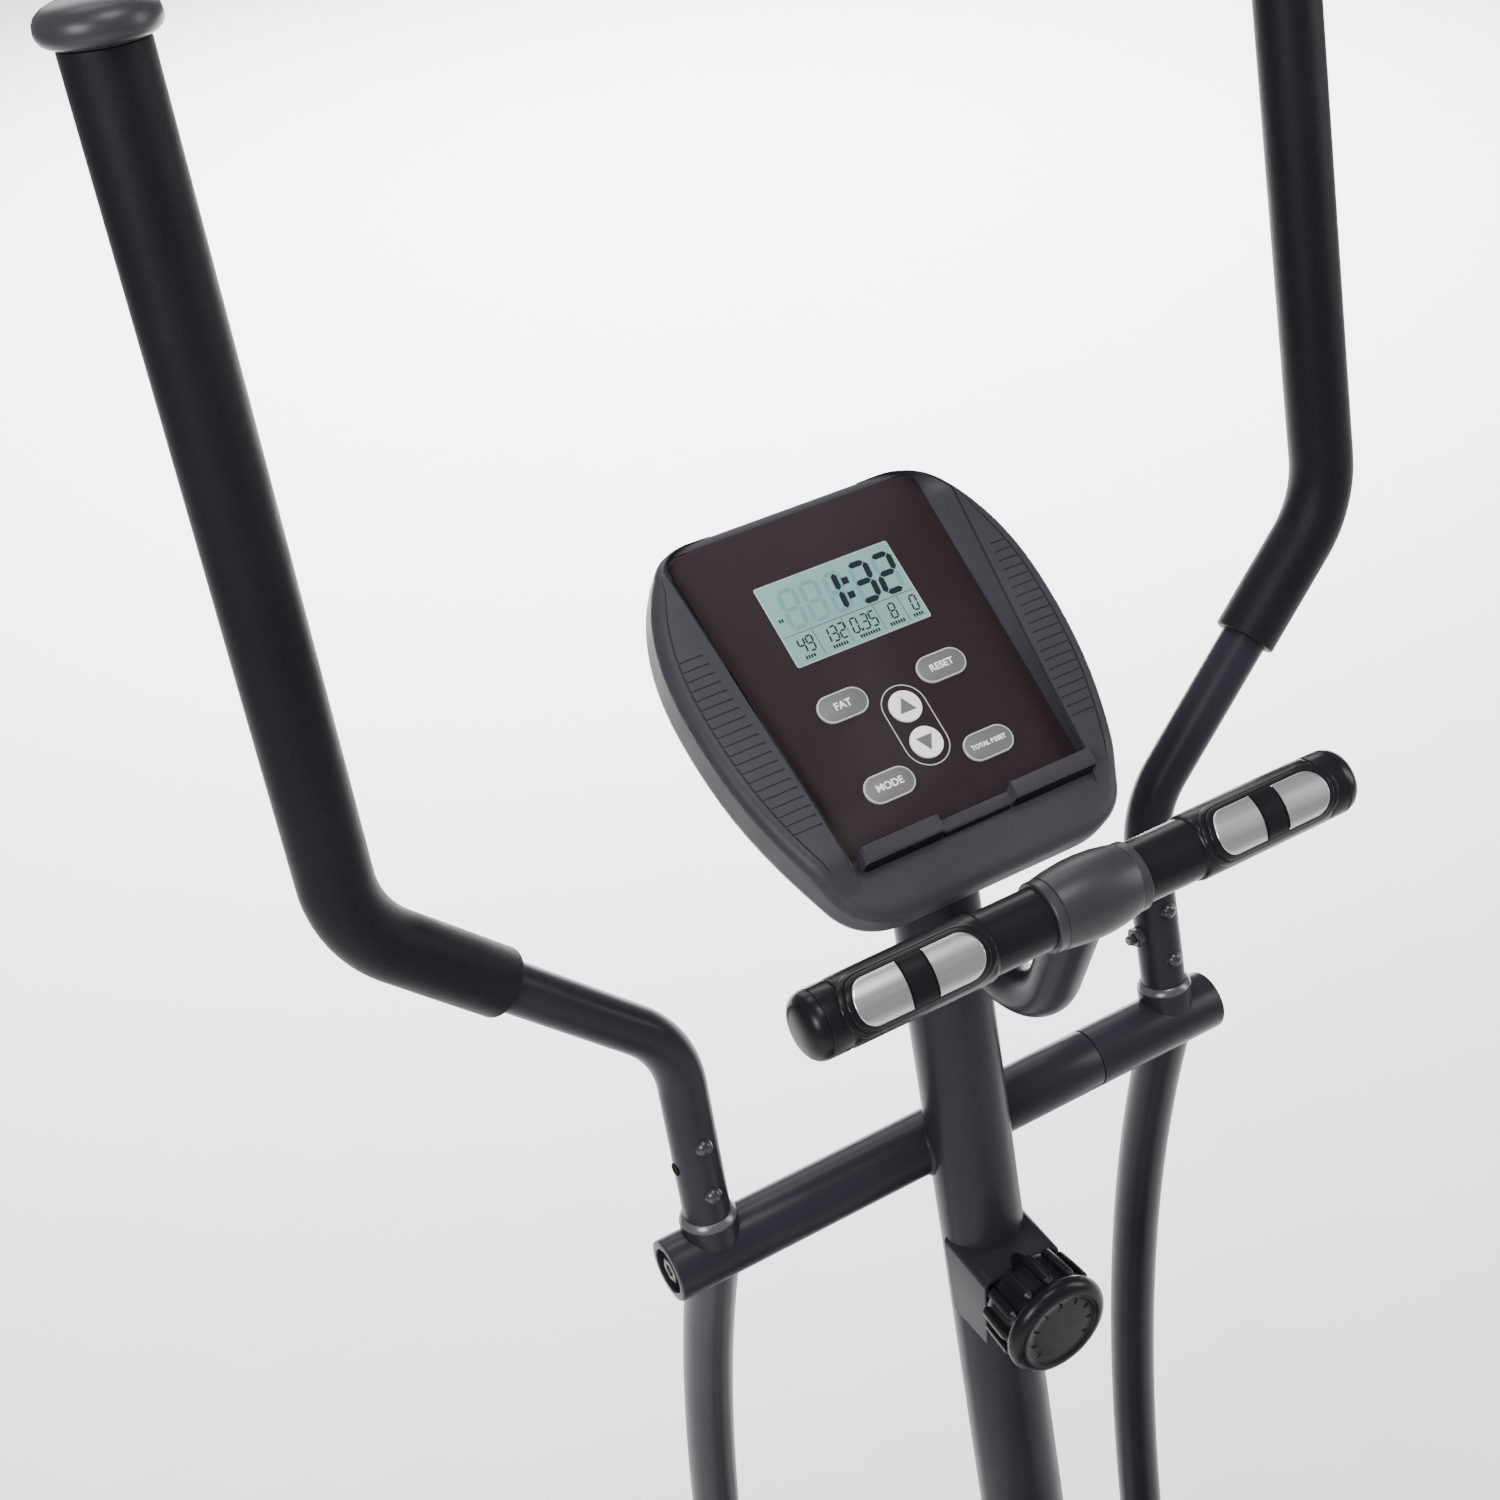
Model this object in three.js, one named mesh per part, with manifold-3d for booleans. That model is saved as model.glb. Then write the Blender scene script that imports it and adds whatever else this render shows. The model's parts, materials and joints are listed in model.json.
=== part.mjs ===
// Elliptical trainer with a rear crank housing, two swing arms with moving handlebars,
// a fixed pulse bar, a console and a magnetic brake set by a knob on the upright.
// Millimetres. +X is the user's right, +Y is the way the user faces, +Z is up.
// The origin is on the floor under the middle of the machine.
import * as THREE from "three";
import { mergeVertices } from "three/addons/utils/BufferGeometryUtils.js";
import Module from "manifold-3d";

const wasm = await Module();
wasm.setup();

// ---------------------------------------------------------------- driving dimensions
const PIVOT_Y = 345; // swing pivot, which is the crossbar's axis
const PIVOT_Z = 915;
const SWING_X = 152.8; // plane of each swing arm
const SWING_LEFT = -5.9; // degrees: each arm's lean at rest, forward at the top
const SWING_RIGHT = -11.3;
const CRANK_Z = 290;
const CRANK_R = 130;
const PEDAL_LINK = 650; // crank pin to swing arm pin
const HALF_LENGTH = 554;
const STABILIZER_LENGTH = 440;
const STABILIZER_R = 25;
const STABILIZER_Z = 32;
const POST_LEAN = 8.43; // degrees, forward at the top
const POST_R = 23.4;
const POST_WALL = 2;
const POST_OFFSET = -18; // post axis against crossbar axis, at the crossbar
const HANDLE_R = 12.7;
const HANDLE_WALL = 1.6;
const GRIP_R = 17.2;
const SLEEVE_R = 17.2;
const AXLE_R = 12.2;
const SWING_TUBE_R = 14.3;
const GAP = 0.35; // between pieces that touch
const RUN = 0.5; // between pieces that move against each other
const ROUND = 14; // sides of a plain round tube
const BENT = 10; // sides of a bent tube

// ---------------------------------------------------------------- small helpers
const rad = THREE.MathUtils.degToRad;
const at = (x, y, z) => new THREE.Vector3(x, y, z);
const sides = { left: -1, right: 1 };

// A three.js geometry as a manifold-3d solid, with its faces turned out.
function solid(geometry) {
  const plain = geometry.clone();
  plain.deleteAttribute("normal");
  plain.deleteAttribute("uv");
  const merged = mergeVertices(plain, 1e-4);
  const kept = [];
  const index = merged.index.array;
  for (let i = 0; i < index.length; i += 3) {
    const [a, b, c] = index.subarray(i, i + 3);
    if (a !== b && b !== c && c !== a) kept.push(a, b, c);
  }
  const make = (triVerts) =>
    new wasm.Manifold(
      new wasm.Mesh({
        numProp: 3,
        vertProperties: new Float32Array(merged.attributes.position.array),
        triVerts,
      }),
    );
  const made = make(new Uint32Array(kept));
  return made.volume() > 0 ? made : make(new Uint32Array(kept).reverse());
}

// A manifold-3d solid as a three.js geometry.
function geometryOf(body) {
  const mesh = body.getMesh();
  return new THREE.BufferGeometry()
    .setAttribute("position", new THREE.BufferAttribute(mesh.vertProperties, 3))
    .setIndex(new THREE.BufferAttribute(mesh.triVerts, 1));
}

const join = (...bodies) => bodies.reduce((a, b) => a.add(b));
const cut = (body, ...tools) => tools.reduce((a, b) => a.subtract(b), body);

function box(center, size) {
  const made = new THREE.BoxGeometry(size.x, size.y, size.z);
  return solid(made.translate(center.x, center.y, center.z));
}

function rod(radius, from, to, count = ROUND) {
  const along = to.clone().sub(from);
  const made = new THREE.CylinderGeometry(radius, radius, along.length(), count);
  const turn = new THREE.Quaternion().setFromUnitVectors(at(0, 1, 0), along.normalize());
  const middle = from.clone().add(to).multiplyScalar(0.5);
  return solid(made.applyQuaternion(turn).translate(middle.x, middle.y, middle.z));
}

// A solid of revolution about X: profile points are (distance from the axis, x).
function turned(profile, center, count = 32) {
  const made = new THREE.LatheGeometry(
    profile.map(([r, x]) => new THREE.Vector2(r, x)),
    count,
  );
  return solid(made.rotateZ(-Math.PI / 2).translate(center.x, center.y, center.z));
}

// The outline as plain corners, none of them twice in the same place.
function corners(shape, curveSegments) {
  const points = shape.getPoints(curveSegments);
  const apart = points.filter((p, i) => {
    const next = points[(i + 1) % points.length];
    return p.distanceTo(next) > 1e-3;
  });
  return new THREE.Shape(apart);
}

// A flat outline in the Y-Z plane, made thick from x0 to x1.
function plateX(outline, x0, x1, curveSegments = 8) {
  const made = new THREE.ExtrudeGeometry(corners(outline, curveSegments), {
    depth: x1 - x0,
    bevelEnabled: false,
  });
  const basis = new THREE.Matrix4().makeBasis(at(0, 1, 0), at(0, 0, 1), at(1, 0, 0));
  return solid(made.applyMatrix4(basis).translate(x0, 0, 0));
}

// Corners of an arc in the Y-Z plane.
function arc(center, radius, from, to, count) {
  return Array.from({ length: count + 1 }, (_, i) => {
    const angle = from + ((to - from) * i) / count;
    return new THREE.Vector2(center.y + radius * Math.cos(angle), center.z + radius * Math.sin(angle));
  });
}

// The same as plateX with rounded edges; outline(inset) gives the corners of a smaller outline.
function softPlateX(outline, x0, x1, edge) {
  const turns = [Math.PI / 2, Math.PI / 4, 0];
  const near = turns.map((turn) => ({
    points: outline(edge * (1 - Math.cos(turn))),
    offset: edge * (1 - Math.sin(turn)),
  }));
  const rings = [
    ...near.map((ring) => ({ points: ring.points, x: x0 + ring.offset })),
    ...near.reverse().map((ring) => ({ points: ring.points, x: x1 - ring.offset })),
  ];
  const count = rings[0].points.length;
  const positions = rings.flatMap((ring) => ring.points.flatMap((p) => [ring.x, p.x, p.y]));
  const index = [];
  for (let ring = 0; ring < rings.length - 1; ring++) {
    for (let i = 0; i < count; i++) {
      const low = ring * count;
      const next = (i + 1) % count;
      index.push(low + i, low + next, low + count + i);
      index.push(low + next, low + count + next, low + count + i);
    }
  }
  const cap = THREE.ShapeUtils.triangulateShape(rings[0].points, []);
  const last = (rings.length - 1) * count;
  for (const [p, q, r] of cap) {
    index.push(p, r, q, last + p, last + q, last + r);
  }
  const made = new THREE.BufferGeometry();
  made.setAttribute("position", new THREE.Float32BufferAttribute(positions, 3));
  return solid(made.setIndex(index));
}

// A path of straight runs with a round bend at each inner stop. It gives a tube one
// step for each straight run and BEND_STEPS for each bend.
const BEND_STEPS = 5;
class TubePath extends THREE.Curve {
  constructor(points, tangents) {
    super();
    this.points = points;
    this.tangents = tangents;
  }
  getSpacedPoints() {
    return this.points;
  }
  getTangentAt(share) {
    return this.tangents[Math.round(share * (this.points.length - 1))].clone();
  }
}

function bentPath(stops, bendRadius) {
  const heading = (i) => stops[i + 1].clone().sub(stops[i]).normalize();
  const points = [stops[0]];
  const tangents = [heading(0)];
  for (let i = 1; i < stops.length - 1; i++) {
    const into = heading(i - 1);
    const out = heading(i);
    const turn = into.angleTo(out);
    const side = out.clone().addScaledVector(into, -into.dot(out)).normalize();
    const center = stops[i].clone()
      .addScaledVector(into, -bendRadius * Math.tan(turn / 2))
      .addScaledVector(side, bendRadius);
    for (let step = 0; step <= BEND_STEPS; step++) {
      const angle = (turn * step) / BEND_STEPS;
      const point = center.clone()
        .addScaledVector(side, -bendRadius * Math.cos(angle))
        .addScaledVector(into, bendRadius * Math.sin(angle));
      const ahead = into.clone().multiplyScalar(Math.cos(angle));
      points.push(point);
      tangents.push(ahead.addScaledVector(side, Math.sin(angle)));
    }
  }
  points.push(stops[stops.length - 1]);
  tangents.push(heading(stops.length - 2));
  return new TubePath(points, tangents);
}

function circle(radius, count) {
  return new THREE.Shape(
    Array.from({ length: count }, (_, i) => {
      const angle = (i / count) * 2 * Math.PI;
      return new THREE.Vector2(radius * Math.cos(angle), radius * Math.sin(angle));
    }),
  );
}

function sweep(path, radius, { count = BENT, bore = 0 } = {}) {
  const section = circle(radius, count);
  if (bore) section.holes.push(circle(bore, 8));
  const steps = path instanceof TubePath ? path.points.length - 1 : 10;
  return solid(new THREE.ExtrudeGeometry(section, { steps, extrudePath: path }));
}

function pill(halfLength, halfHeight) {
  const straight = halfLength - halfHeight;
  const shape = new THREE.Shape();
  shape.absarc(straight, 0, halfHeight, -Math.PI / 2, Math.PI / 2);
  shape.absarc(-straight, 0, halfHeight, Math.PI / 2, 1.5 * Math.PI);
  return shape;
}

// A flat outline in local X-Y, made thick from z0 to z1.
function plateZ(outline, z0, z1, curveSegments = 4) {
  const options = { depth: z1 - z0, bevelEnabled: false };
  const made = new THREE.ExtrudeGeometry(corners(outline, curveSegments), options);
  return solid(made.translate(0, 0, z0));
}

// ---------------------------------------------------------------- finishes
const finish = (color, roughness, metalness = 0) =>
  new THREE.MeshStandardMaterial({ color, roughness, metalness });
const blackPaint = finish(0x2a2a2f, 0.45, 0.3);
const blackFoam = finish(0x1b1b20, 0.85);
const blackPlastic = finish(0x232327, 0.5);
const greyPlastic = finish(0x4b4b52, 0.5);
const overlayFilm = finish(0x2f2729, 0.35);
const lcdGlass = finish(0x9fb9b3, 0.2);
const buttonGrey = finish(0x77777a, 0.5);
const buttonWhite = finish(0xf2f2f2, 0.5);
const steel = finish(0xb8b8bc, 0.3, 1);
const castIron = finish(0x55555a, 0.6, 0.8);
const rubber = finish(0x18181a, 0.9);

const trainer = new THREE.Group();
function piece(name, body, material, parent = trainer) {
  const mesh = new THREE.Mesh(geometryOf(body), material);
  mesh.name = name;
  parent.add(mesh);
  return mesh;
}

// ---------------------------------------------------------------- linkage at rest
const pivot = at(0, PIVOT_Y, PIVOT_Z);
const ARM_END_Y = 112.7; // swing arm's lower pin in the arm's own frame
const ARM_END_Z = -630;
const armLean = { left: rad(SWING_LEFT), right: rad(SWING_RIGHT) };

function armPin(side) {
  const end = at(0, ARM_END_Y, ARM_END_Z).applyAxisAngle(at(1, 0, 0), armLean[side]);
  return end.add(pivot);
}

// Crank angle from upright, and the axle's y, at which both pedal links have their length.
function closeLinkage() {
  const left = armPin("left");
  const right = armPin("right");
  let sine = 0.25;
  let axleY = 0;
  for (let i = 0; i < 40; i++) {
    const rise = CRANK_R * Math.sqrt(1 - sine * sine);
    const reachLeft = Math.sqrt(PEDAL_LINK ** 2 - (CRANK_Z + rise - left.z) ** 2);
    const reachRight = Math.sqrt(PEDAL_LINK ** 2 - (CRANK_Z - rise - right.z) ** 2);
    axleY = (left.y + right.y - reachLeft - reachRight) / 2;
    sine = (left.y - right.y - reachLeft + reachRight) / (2 * CRANK_R);
  }
  return { angle: Math.asin(sine), axleY };
}
const linkage = closeLinkage();
const axle = at(0, linkage.axleY, CRANK_Z);

function crankPin(side) {
  const sign = -sides[side]; // the left pin is up, the right pin is down
  const reach = at(0, Math.sin(linkage.angle), Math.cos(linkage.angle));
  return axle.clone().addScaledVector(reach, sign * CRANK_R);
}

// ---------------------------------------------------------------- upright and crossbar
const postUp = at(0, Math.sin(rad(POST_LEAN)), Math.cos(rad(POST_LEAN)));
const postCenter = pivot.clone().add(at(0, POST_OFFSET, -3));
const postAt = (distance) => postCenter.clone().addScaledVector(postUp, distance);
const POST_TOP = 178;
const POST_FOOT = -814;
const SLEEVE_INNER_X = 93.5;
const SLEEVE_OUTER_X = 181;
const along = (x, center = pivot) => at(x, center.y, center.z);

const KNOB_DROP = -70.4; // knob axis along the post, from the crossbar
const KNOB_R = 31;
const knobOut = at(0, -1, 0);
const knobFrom = (distance) => postAt(KNOB_DROP).addScaledVector(knobOut, distance);

// Brake cable: from the knob, down inside the post and the frame tube, up to the brake.
const FRAME_TUBE_Z = 78;
const FRAME_TUBE_HALF = 20;
const FRAME_TUBE_WALL = 2.5;
const flywheelCenter = at(0, axle.y + 215, 222);
const FLYWHEEL_R = 112;
const BRAKE_PIVOT = flywheelCenter.clone().add(at(0, 88, -88));
const CABLE_R = 2.5;
const cableStops = [
  knobFrom(30),
  knobFrom(4),
  postAt(KNOB_DROP - 60),
  postAt(POST_FOOT + 60),
  at(0, postAt(POST_FOOT).y - 60, FRAME_TUBE_Z),
  at(0, BRAKE_PIVOT.y + 34, FRAME_TUBE_Z),
  at(0, BRAKE_PIVOT.y + 20, BRAKE_PIVOT.z - 24),
];
const cablePath = bentPath(cableStops, 14);
const cableWay = sweep(cablePath, CABLE_R + 2, { count: 6 });

function uprightPost() {
  const tube = cut(
    rod(POST_R, postAt(POST_FOOT), postAt(POST_TOP), 24),
    rod(POST_R - POST_WALL, postAt(POST_FOOT - 1), postAt(POST_TOP + 1), 24),
  );
  const crossWay = rod(SLEEVE_R + GAP, along(-60), along(60), 24);
  return cut(tube, crossWay, cableWay);
}

function pivotCrossbar() {
  const visible = rod(SLEEVE_R, along(-SLEEVE_INNER_X), along(SLEEVE_INNER_X), 24);
  const end = SLEEVE_OUTER_X - 3;
  return join(visible, rod(AXLE_R, along(-end), along(end)));
}
piece("upright_post", uprightPost(), blackPaint);
piece("pivot_crossbar", cut(pivotCrossbar(), cableWay), blackPaint);

// ---------------------------------------------------------------- base frame
const frontY = HALF_LENGTH - 68;
const rearY = -HALF_LENGTH + 30;
const BB_SHELL_R = 20;
const CRANK_AXLE_R = 10;
const FRAME_TOP = FRAME_TUBE_Z + FRAME_TUBE_HALF;

function mainFrame() {
  const length = frontY - rearY + 44;
  const middle = at(0, (frontY + rearY) / 2, FRAME_TUBE_Z);
  const wide = 2 * FRAME_TUBE_HALF;
  const hollow = wide - 2 * FRAME_TUBE_WALL;
  const tube = cut(
    box(middle, at(wide, length, wide)),
    box(middle, at(hollow, length + 2, hollow)),
  );
  const stub = cut(
    rod(POST_R - POST_WALL - 0.8, postAt(POST_FOOT - 28), postAt(POST_FOOT + 90)),
    rod(POST_R - POST_WALL - 3.5, postAt(POST_FOOT - 40), postAt(POST_FOOT + 91)),
  );
  const collar = rod(POST_R + 3, postAt(POST_FOOT - 28), postAt(POST_FOOT - GAP));
  const collarHole = rod(POST_R - POST_WALL - 3.5, postAt(POST_FOOT - 60), postAt(POST_FOOT + 1));
  const seatPost = box(at(-6, axle.y, (FRAME_TOP + axle.z) / 2), at(34, 34, axle.z - FRAME_TOP));
  const shell = rod(BB_SHELL_R, along(-34, axle), along(22, axle));
  const bore = rod(CRANK_AXLE_R + RUN, along(-40, axle), along(30, axle));
  const forkBase = box(at(6, flywheelCenter.y, FRAME_TOP + 2), at(92, 60, 5));
  const forkHeight = flywheelCenter.z + 18 - FRAME_TOP;
  const forkMiddle = FRAME_TOP + forkHeight / 2;
  const forks = [-37, 49].map((x) =>
    box(at(x, flywheelCenter.y, forkMiddle), at(5, 36, forkHeight)),
  );
  const flyAxle = rod(6, along(-44, flywheelCenter), along(53, flywheelCenter), 12);
  const brakeLug = box(at(-7, BRAKE_PIVOT.y, (FRAME_TOP + BRAKE_PIVOT.z) / 2),
    at(10, 14, BRAKE_PIVOT.z - FRAME_TOP + 14));
  const brakePin = rod(4, along(-30, BRAKE_PIVOT), along(16, BRAKE_PIVOT), 12);
  const saddles = [frontY, rearY].map((y) =>
    box(at(0, y, STABILIZER_Z + STABILIZER_R + 1.2), at(60, 36, 2)),
  );
  const body = join(tube, stub, cut(collar, collarHole), seatPost, shell, forkBase,
    ...forks, flyAxle, brakeLug, brakePin, ...saddles);
  return cut(body, bore, cableWay, box(at(0, BRAKE_PIVOT.y + 26, FRAME_TOP), at(12, 30, 12)));
}
piece("main_frame", mainFrame(), blackPaint);

function stabilizer(y) {
  const half = STABILIZER_LENGTH / 2;
  const center = at(0, y, STABILIZER_Z);
  return cut(
    rod(STABILIZER_R, along(-half, center), along(half, center), 24),
    rod(STABILIZER_R - 2, along(-half - 1, center), along(half + 1, center), 16),
  );
}
piece("front_stabilizer", stabilizer(frontY), blackPaint);
piece("rear_stabilizer", stabilizer(rearY), blackPaint);

// Plastic end caps. Each front cap has two cheeks that hold a transport wheel.
const CAP_R = 30;
const CAP_INSIDE = 62;
const CAP_OVERHANG = 22;
const WHEEL_R = 19;
const WHEEL_Z = 22;
const wheelCenter = (side) =>
  at(sides[side] * (STABILIZER_LENGTH / 2 - 16), HALF_LENGTH - WHEEL_R, WHEEL_Z);

function capOutline(y, inset) {
  const corner = 12;
  const reach = CAP_R - corner;
  return [
    ...arc(at(0, y + reach, corner), corner - inset, -Math.PI / 2, 0, 3),
    ...arc(at(0, y, STABILIZER_Z), CAP_R - inset, 0, Math.PI, 12),
    ...arc(at(0, y - reach, corner), corner - inset, Math.PI, 1.5 * Math.PI, 3),
  ];
}

function endCap(side, y) {
  const sign = sides[side];
  const ends = [
    sign * (STABILIZER_LENGTH / 2 - CAP_INSIDE),
    sign * (STABILIZER_LENGTH / 2 + CAP_OVERHANG),
  ].sort((a, b) => a - b);
  const center = at(0, y, STABILIZER_Z);
  const deep = sign * (STABILIZER_LENGTH / 2 + GAP);
  const tubeWay = rod(STABILIZER_R + GAP, along(0, center), along(deep, center), 24);
  const inside = rod(STABILIZER_R - 2.6, along(deep + sign, center),
    along(deep - sign * 22, center), 16);
  const shell = softPlateX((inset) => capOutline(y, inset), ends[0], ends[1], 5);
  return join(cut(shell, tubeWay), inside);
}

function frontCap(side) {
  const wheel = wheelCenter(side);
  const slot = rod(WHEEL_R + 3, along(wheel.x - 10, wheel), along(wheel.x + 10, wheel), 20);
  const cheeks = [-15, 10].map((x) => {
    const near = wheel.clone().add(at(x, 0, 0));
    const block = box(near.clone().add(at(2.5, -12, 6)), at(5, 26, 24));
    return join(block, rod(13, near, near.clone().add(at(5, 0, 0)), 12));
  });
  const pin = rod(4, along(wheel.x - 14, wheel), along(wheel.x + 14, wheel), 10);
  const center = at(0, frontY, STABILIZER_Z);
  const tubeWay = rod(STABILIZER_R + GAP, along(-400, center), along(400, center), 24);
  const body = cut(endCap(side, frontY), slot);
  return join(body, cut(join(...cheeks, pin), tubeWay));
}
for (const side of ["left", "right"]) {
  const wheel = wheelCenter(side);
  piece(`front_cap_${side}`, frontCap(side), blackPlastic);
  piece(`rear_cap_${side}`, endCap(side, rearY), blackPlastic);
  const tread = turned([[4.6, -8], [16, -8], [WHEEL_R, -5], [WHEEL_R, 5], [16, 8], [4.6, 8], [4.6, -8]],
    wheel, 20);
  piece(`transport_wheel_${side}`, tread, rubber);
}

// ---------------------------------------------------------------- crank and drive
const PULLEY_X = [26, 38];
const PULLEY_R = 118;
const SMALL_PULLEY_R = 15;
const SHELL_HALF = 58;
const DISC_R = 205;
const DISC_FACE_X = 84;
const DISC_BACK_X = 62;

const axleEnd = 76;
piece("crank_axle", rod(CRANK_AXLE_R, along(-axleEnd, axle), along(axleEnd, axle)), steel);

function crankArm(side) {
  const sign = sides[side];
  const pin = crankPin(side);
  const x = [sign * 66, sign * 76].sort((a, b) => a - b);
  const half = 14;
  const reach = pin.clone().sub(axle);
  const turn = Math.atan2(reach.z, reach.y);
  const bar = pill(CRANK_R / 2 + half, half);
  const flat = plateX(bar, x[0], x[1], 5);
  const middle = axle.clone().add(pin).multiplyScalar(0.5);
  const turned = flat.rotate([(turn * 180) / Math.PI, 0, 0]).translate([0, middle.y, middle.z]);
  return cut(turned, rod(CRANK_AXLE_R + GAP, along(-90, axle), along(90, axle)));
}

function crankDisc(side) {
  const sign = sides[side];
  const profile = [
    [0, DISC_FACE_X], [0, DISC_FACE_X - 3], [184, DISC_FACE_X - 3], [198, DISC_FACE_X - 10],
    [200, DISC_BACK_X], [DISC_R, DISC_BACK_X], [DISC_R, DISC_FACE_X - 9],
    [200, DISC_FACE_X - 3], [190, DISC_FACE_X], [0, DISC_FACE_X],
  ].map(([r, x]) => [r, sign * x]);
  return turned(profile, axle, 32);
}

function drivePulley() {
  const [a, b] = PULLEY_X;
  const rim = turned([[104, a], [PULLEY_R, a], [PULLEY_R, b], [104, b], [104, a]], axle, 24);
  const web = turned([[10.6, a + 4], [105, a + 4], [105, b - 4], [10.6, b - 4], [10.6, a + 4]], axle, 24);
  const hub = turned([[10.6, a - 2], [22, a - 2], [22, b], [10.6, b], [10.6, a - 2]], axle, 20);
  return join(rim, web, hub);
}

function flywheel() {
  const rim = turned([[80, -20], [FLYWHEEL_R, -20], [FLYWHEEL_R, 6], [80, 6], [80, -20]],
    flywheelCenter, 24);
  const web = turned([[6.6, -12], [82, -12], [82, -2], [6.6, -2], [6.6, -12]], flywheelCenter, 24);
  const hub = turned([[6.6, -24], [18, -24], [18, 26], [6.6, 26], [6.6, -24]], flywheelCenter, 16);
  const [a, b] = PULLEY_X;
  const pulley = turned(
    [[6.6, a - 1], [SMALL_PULLEY_R, a - 1], [SMALL_PULLEY_R, b], [6.6, b], [6.6, a - 1]],
    flywheelCenter, 20,
  );
  return join(rim, web, hub, pulley);
}

// The belt runs round both pulleys on their outer tangents.
function beltLoop(grow) {
  const big = PULLEY_R + grow;
  const small = SMALL_PULLEY_R + grow;
  const span = flywheelCenter.clone().sub(axle);
  const distance = Math.hypot(span.y, span.z);
  const heading = Math.atan2(span.z, span.y);
  const open = Math.acos((big - small) / distance);
  const shape = new THREE.Shape();
  shape.absarc(axle.y, axle.z, big, heading + open, heading - open + 2 * Math.PI);
  shape.absarc(flywheelCenter.y, flywheelCenter.z, small, heading - open, heading + open);
  return shape;
}

function driveBelt() {
  const [a, b] = PULLEY_X;
  return cut(
    plateX(beltLoop(3.4), a + 1, b - 1, 16),
    plateX(beltLoop(GAP + 1), a, b, 16),
  );
}

function brakeBracket() {
  const outer = FLYWHEEL_R + 14;
  const inner = FLYWHEEL_R + 3;
  const shape = new THREE.Shape();
  shape.absarc(0, 0, outer, rad(-50), rad(18));
  shape.absarc(0, 0, inner, rad(18), rad(-50), true);
  const band = plateX(shape, -28, 14, 8);
  const placed = band.translate([0, flywheelCenter.y, flywheelCenter.z]);
  const boss = rod(11, along(-27, BRAKE_PIVOT), along(-14, BRAKE_PIVOT), 12);
  const bossTwo = rod(11, along(0, BRAKE_PIVOT), along(13, BRAKE_PIVOT), 12);
  const pinWay = rod(4 + RUN, along(-60, BRAKE_PIVOT), along(60, BRAKE_PIVOT), 12);
  const lugWay = box(at(-7, BRAKE_PIVOT.y, BRAKE_PIVOT.z - 14), at(13, 30, 60));
  const flyWay = rod(FLYWHEEL_R + 2, along(-60, flywheelCenter), along(60, flywheelCenter), 32);
  return cut(join(placed, boss, bossTwo), pinWay, lugWay, flyWay);
}
for (const side of ["left", "right"]) {
  piece(`crank_arm_${side}`, crankArm(side), steel);
  piece(`crank_disc_${side}`, crankDisc(side), greyPlastic);
}
piece("drive_pulley", drivePulley(), blackPlastic);
piece("flywheel", flywheel(), castIron);
piece("drive_belt", driveBelt(), rubber);
piece("brake_bracket", brakeBracket(), steel);
piece("brake_cable", sweep(cablePath, CABLE_R, { count: 6 }), rubber);

// ---------------------------------------------------------------- plastic housing
const HOUSING_R = 222;
const NOSE_R = 150;
function housingOutline(inset) {
  const span = flywheelCenter.clone().sub(axle);
  const heading = Math.atan2(span.z, span.y);
  const open = Math.acos((HOUSING_R - NOSE_R) / Math.hypot(span.y, span.z));
  const back = heading - open + 2 * Math.PI;
  return [
    ...arc(axle, HOUSING_R - inset, heading + open, back, 18),
    ...arc(flywheelCenter, NOSE_R - inset, heading - open, heading + open, 9),
  ];
}

function housingShell(side) {
  const sign = sides[side];
  const span = (a, b) => [sign * a, sign * b].sort((p, q) => p - q);
  const outer = span(-12, SHELL_HALF);
  const inner = span(-20, SHELL_HALF - 3);
  const outside = softPlateX(housingOutline, outer[0], outer[1], 9);
  const inside = softPlateX((inset) => housingOutline(inset + 3), inner[0], inner[1], 8);
  const otherHalf = box(at(-sign * (100 - 0.2), axle.y + 100, axle.z), at(200, 1000, 1000));
  const axleWay = rod(CRANK_AXLE_R + 2, along(-90, axle), along(90, axle));
  const frameWay = box(at(0, axle.y + 60, 40), at(2 * FRAME_TUBE_HALF + 1, 700, 2 * (FRAME_TOP - 39.5)));
  const lugWay = box(at(-3, BRAKE_PIVOT.y + 8, FRAME_TOP + 8), at(21, 36, 40));
  return cut(outside, inside, otherHalf, axleWay, frameWay, lugWay);
}
piece("housing_left", housingShell("left"), blackPlastic);
piece("housing_right", housingShell("right"), blackPlastic);

// ---------------------------------------------------------------- swing arms and handlebars
const COLLAR_TOP = 27;
const STUB_TOP = 92;
const LOWER_SLEEVE_HALF = 22;
const PIN_R = 6;
const handleStops = (sign) => [
  at(sign * SWING_X, 0, COLLAR_TOP + GAP),
  at(sign * SWING_X, 0, 136),
  at(sign * 294.7, -6, 274.4),
  at(sign * 293.5, -11, 655),
];
const HANDLE_BEND = 62;
const GRIP_START = 0.56; // share of the middle run where the foam begins

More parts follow.
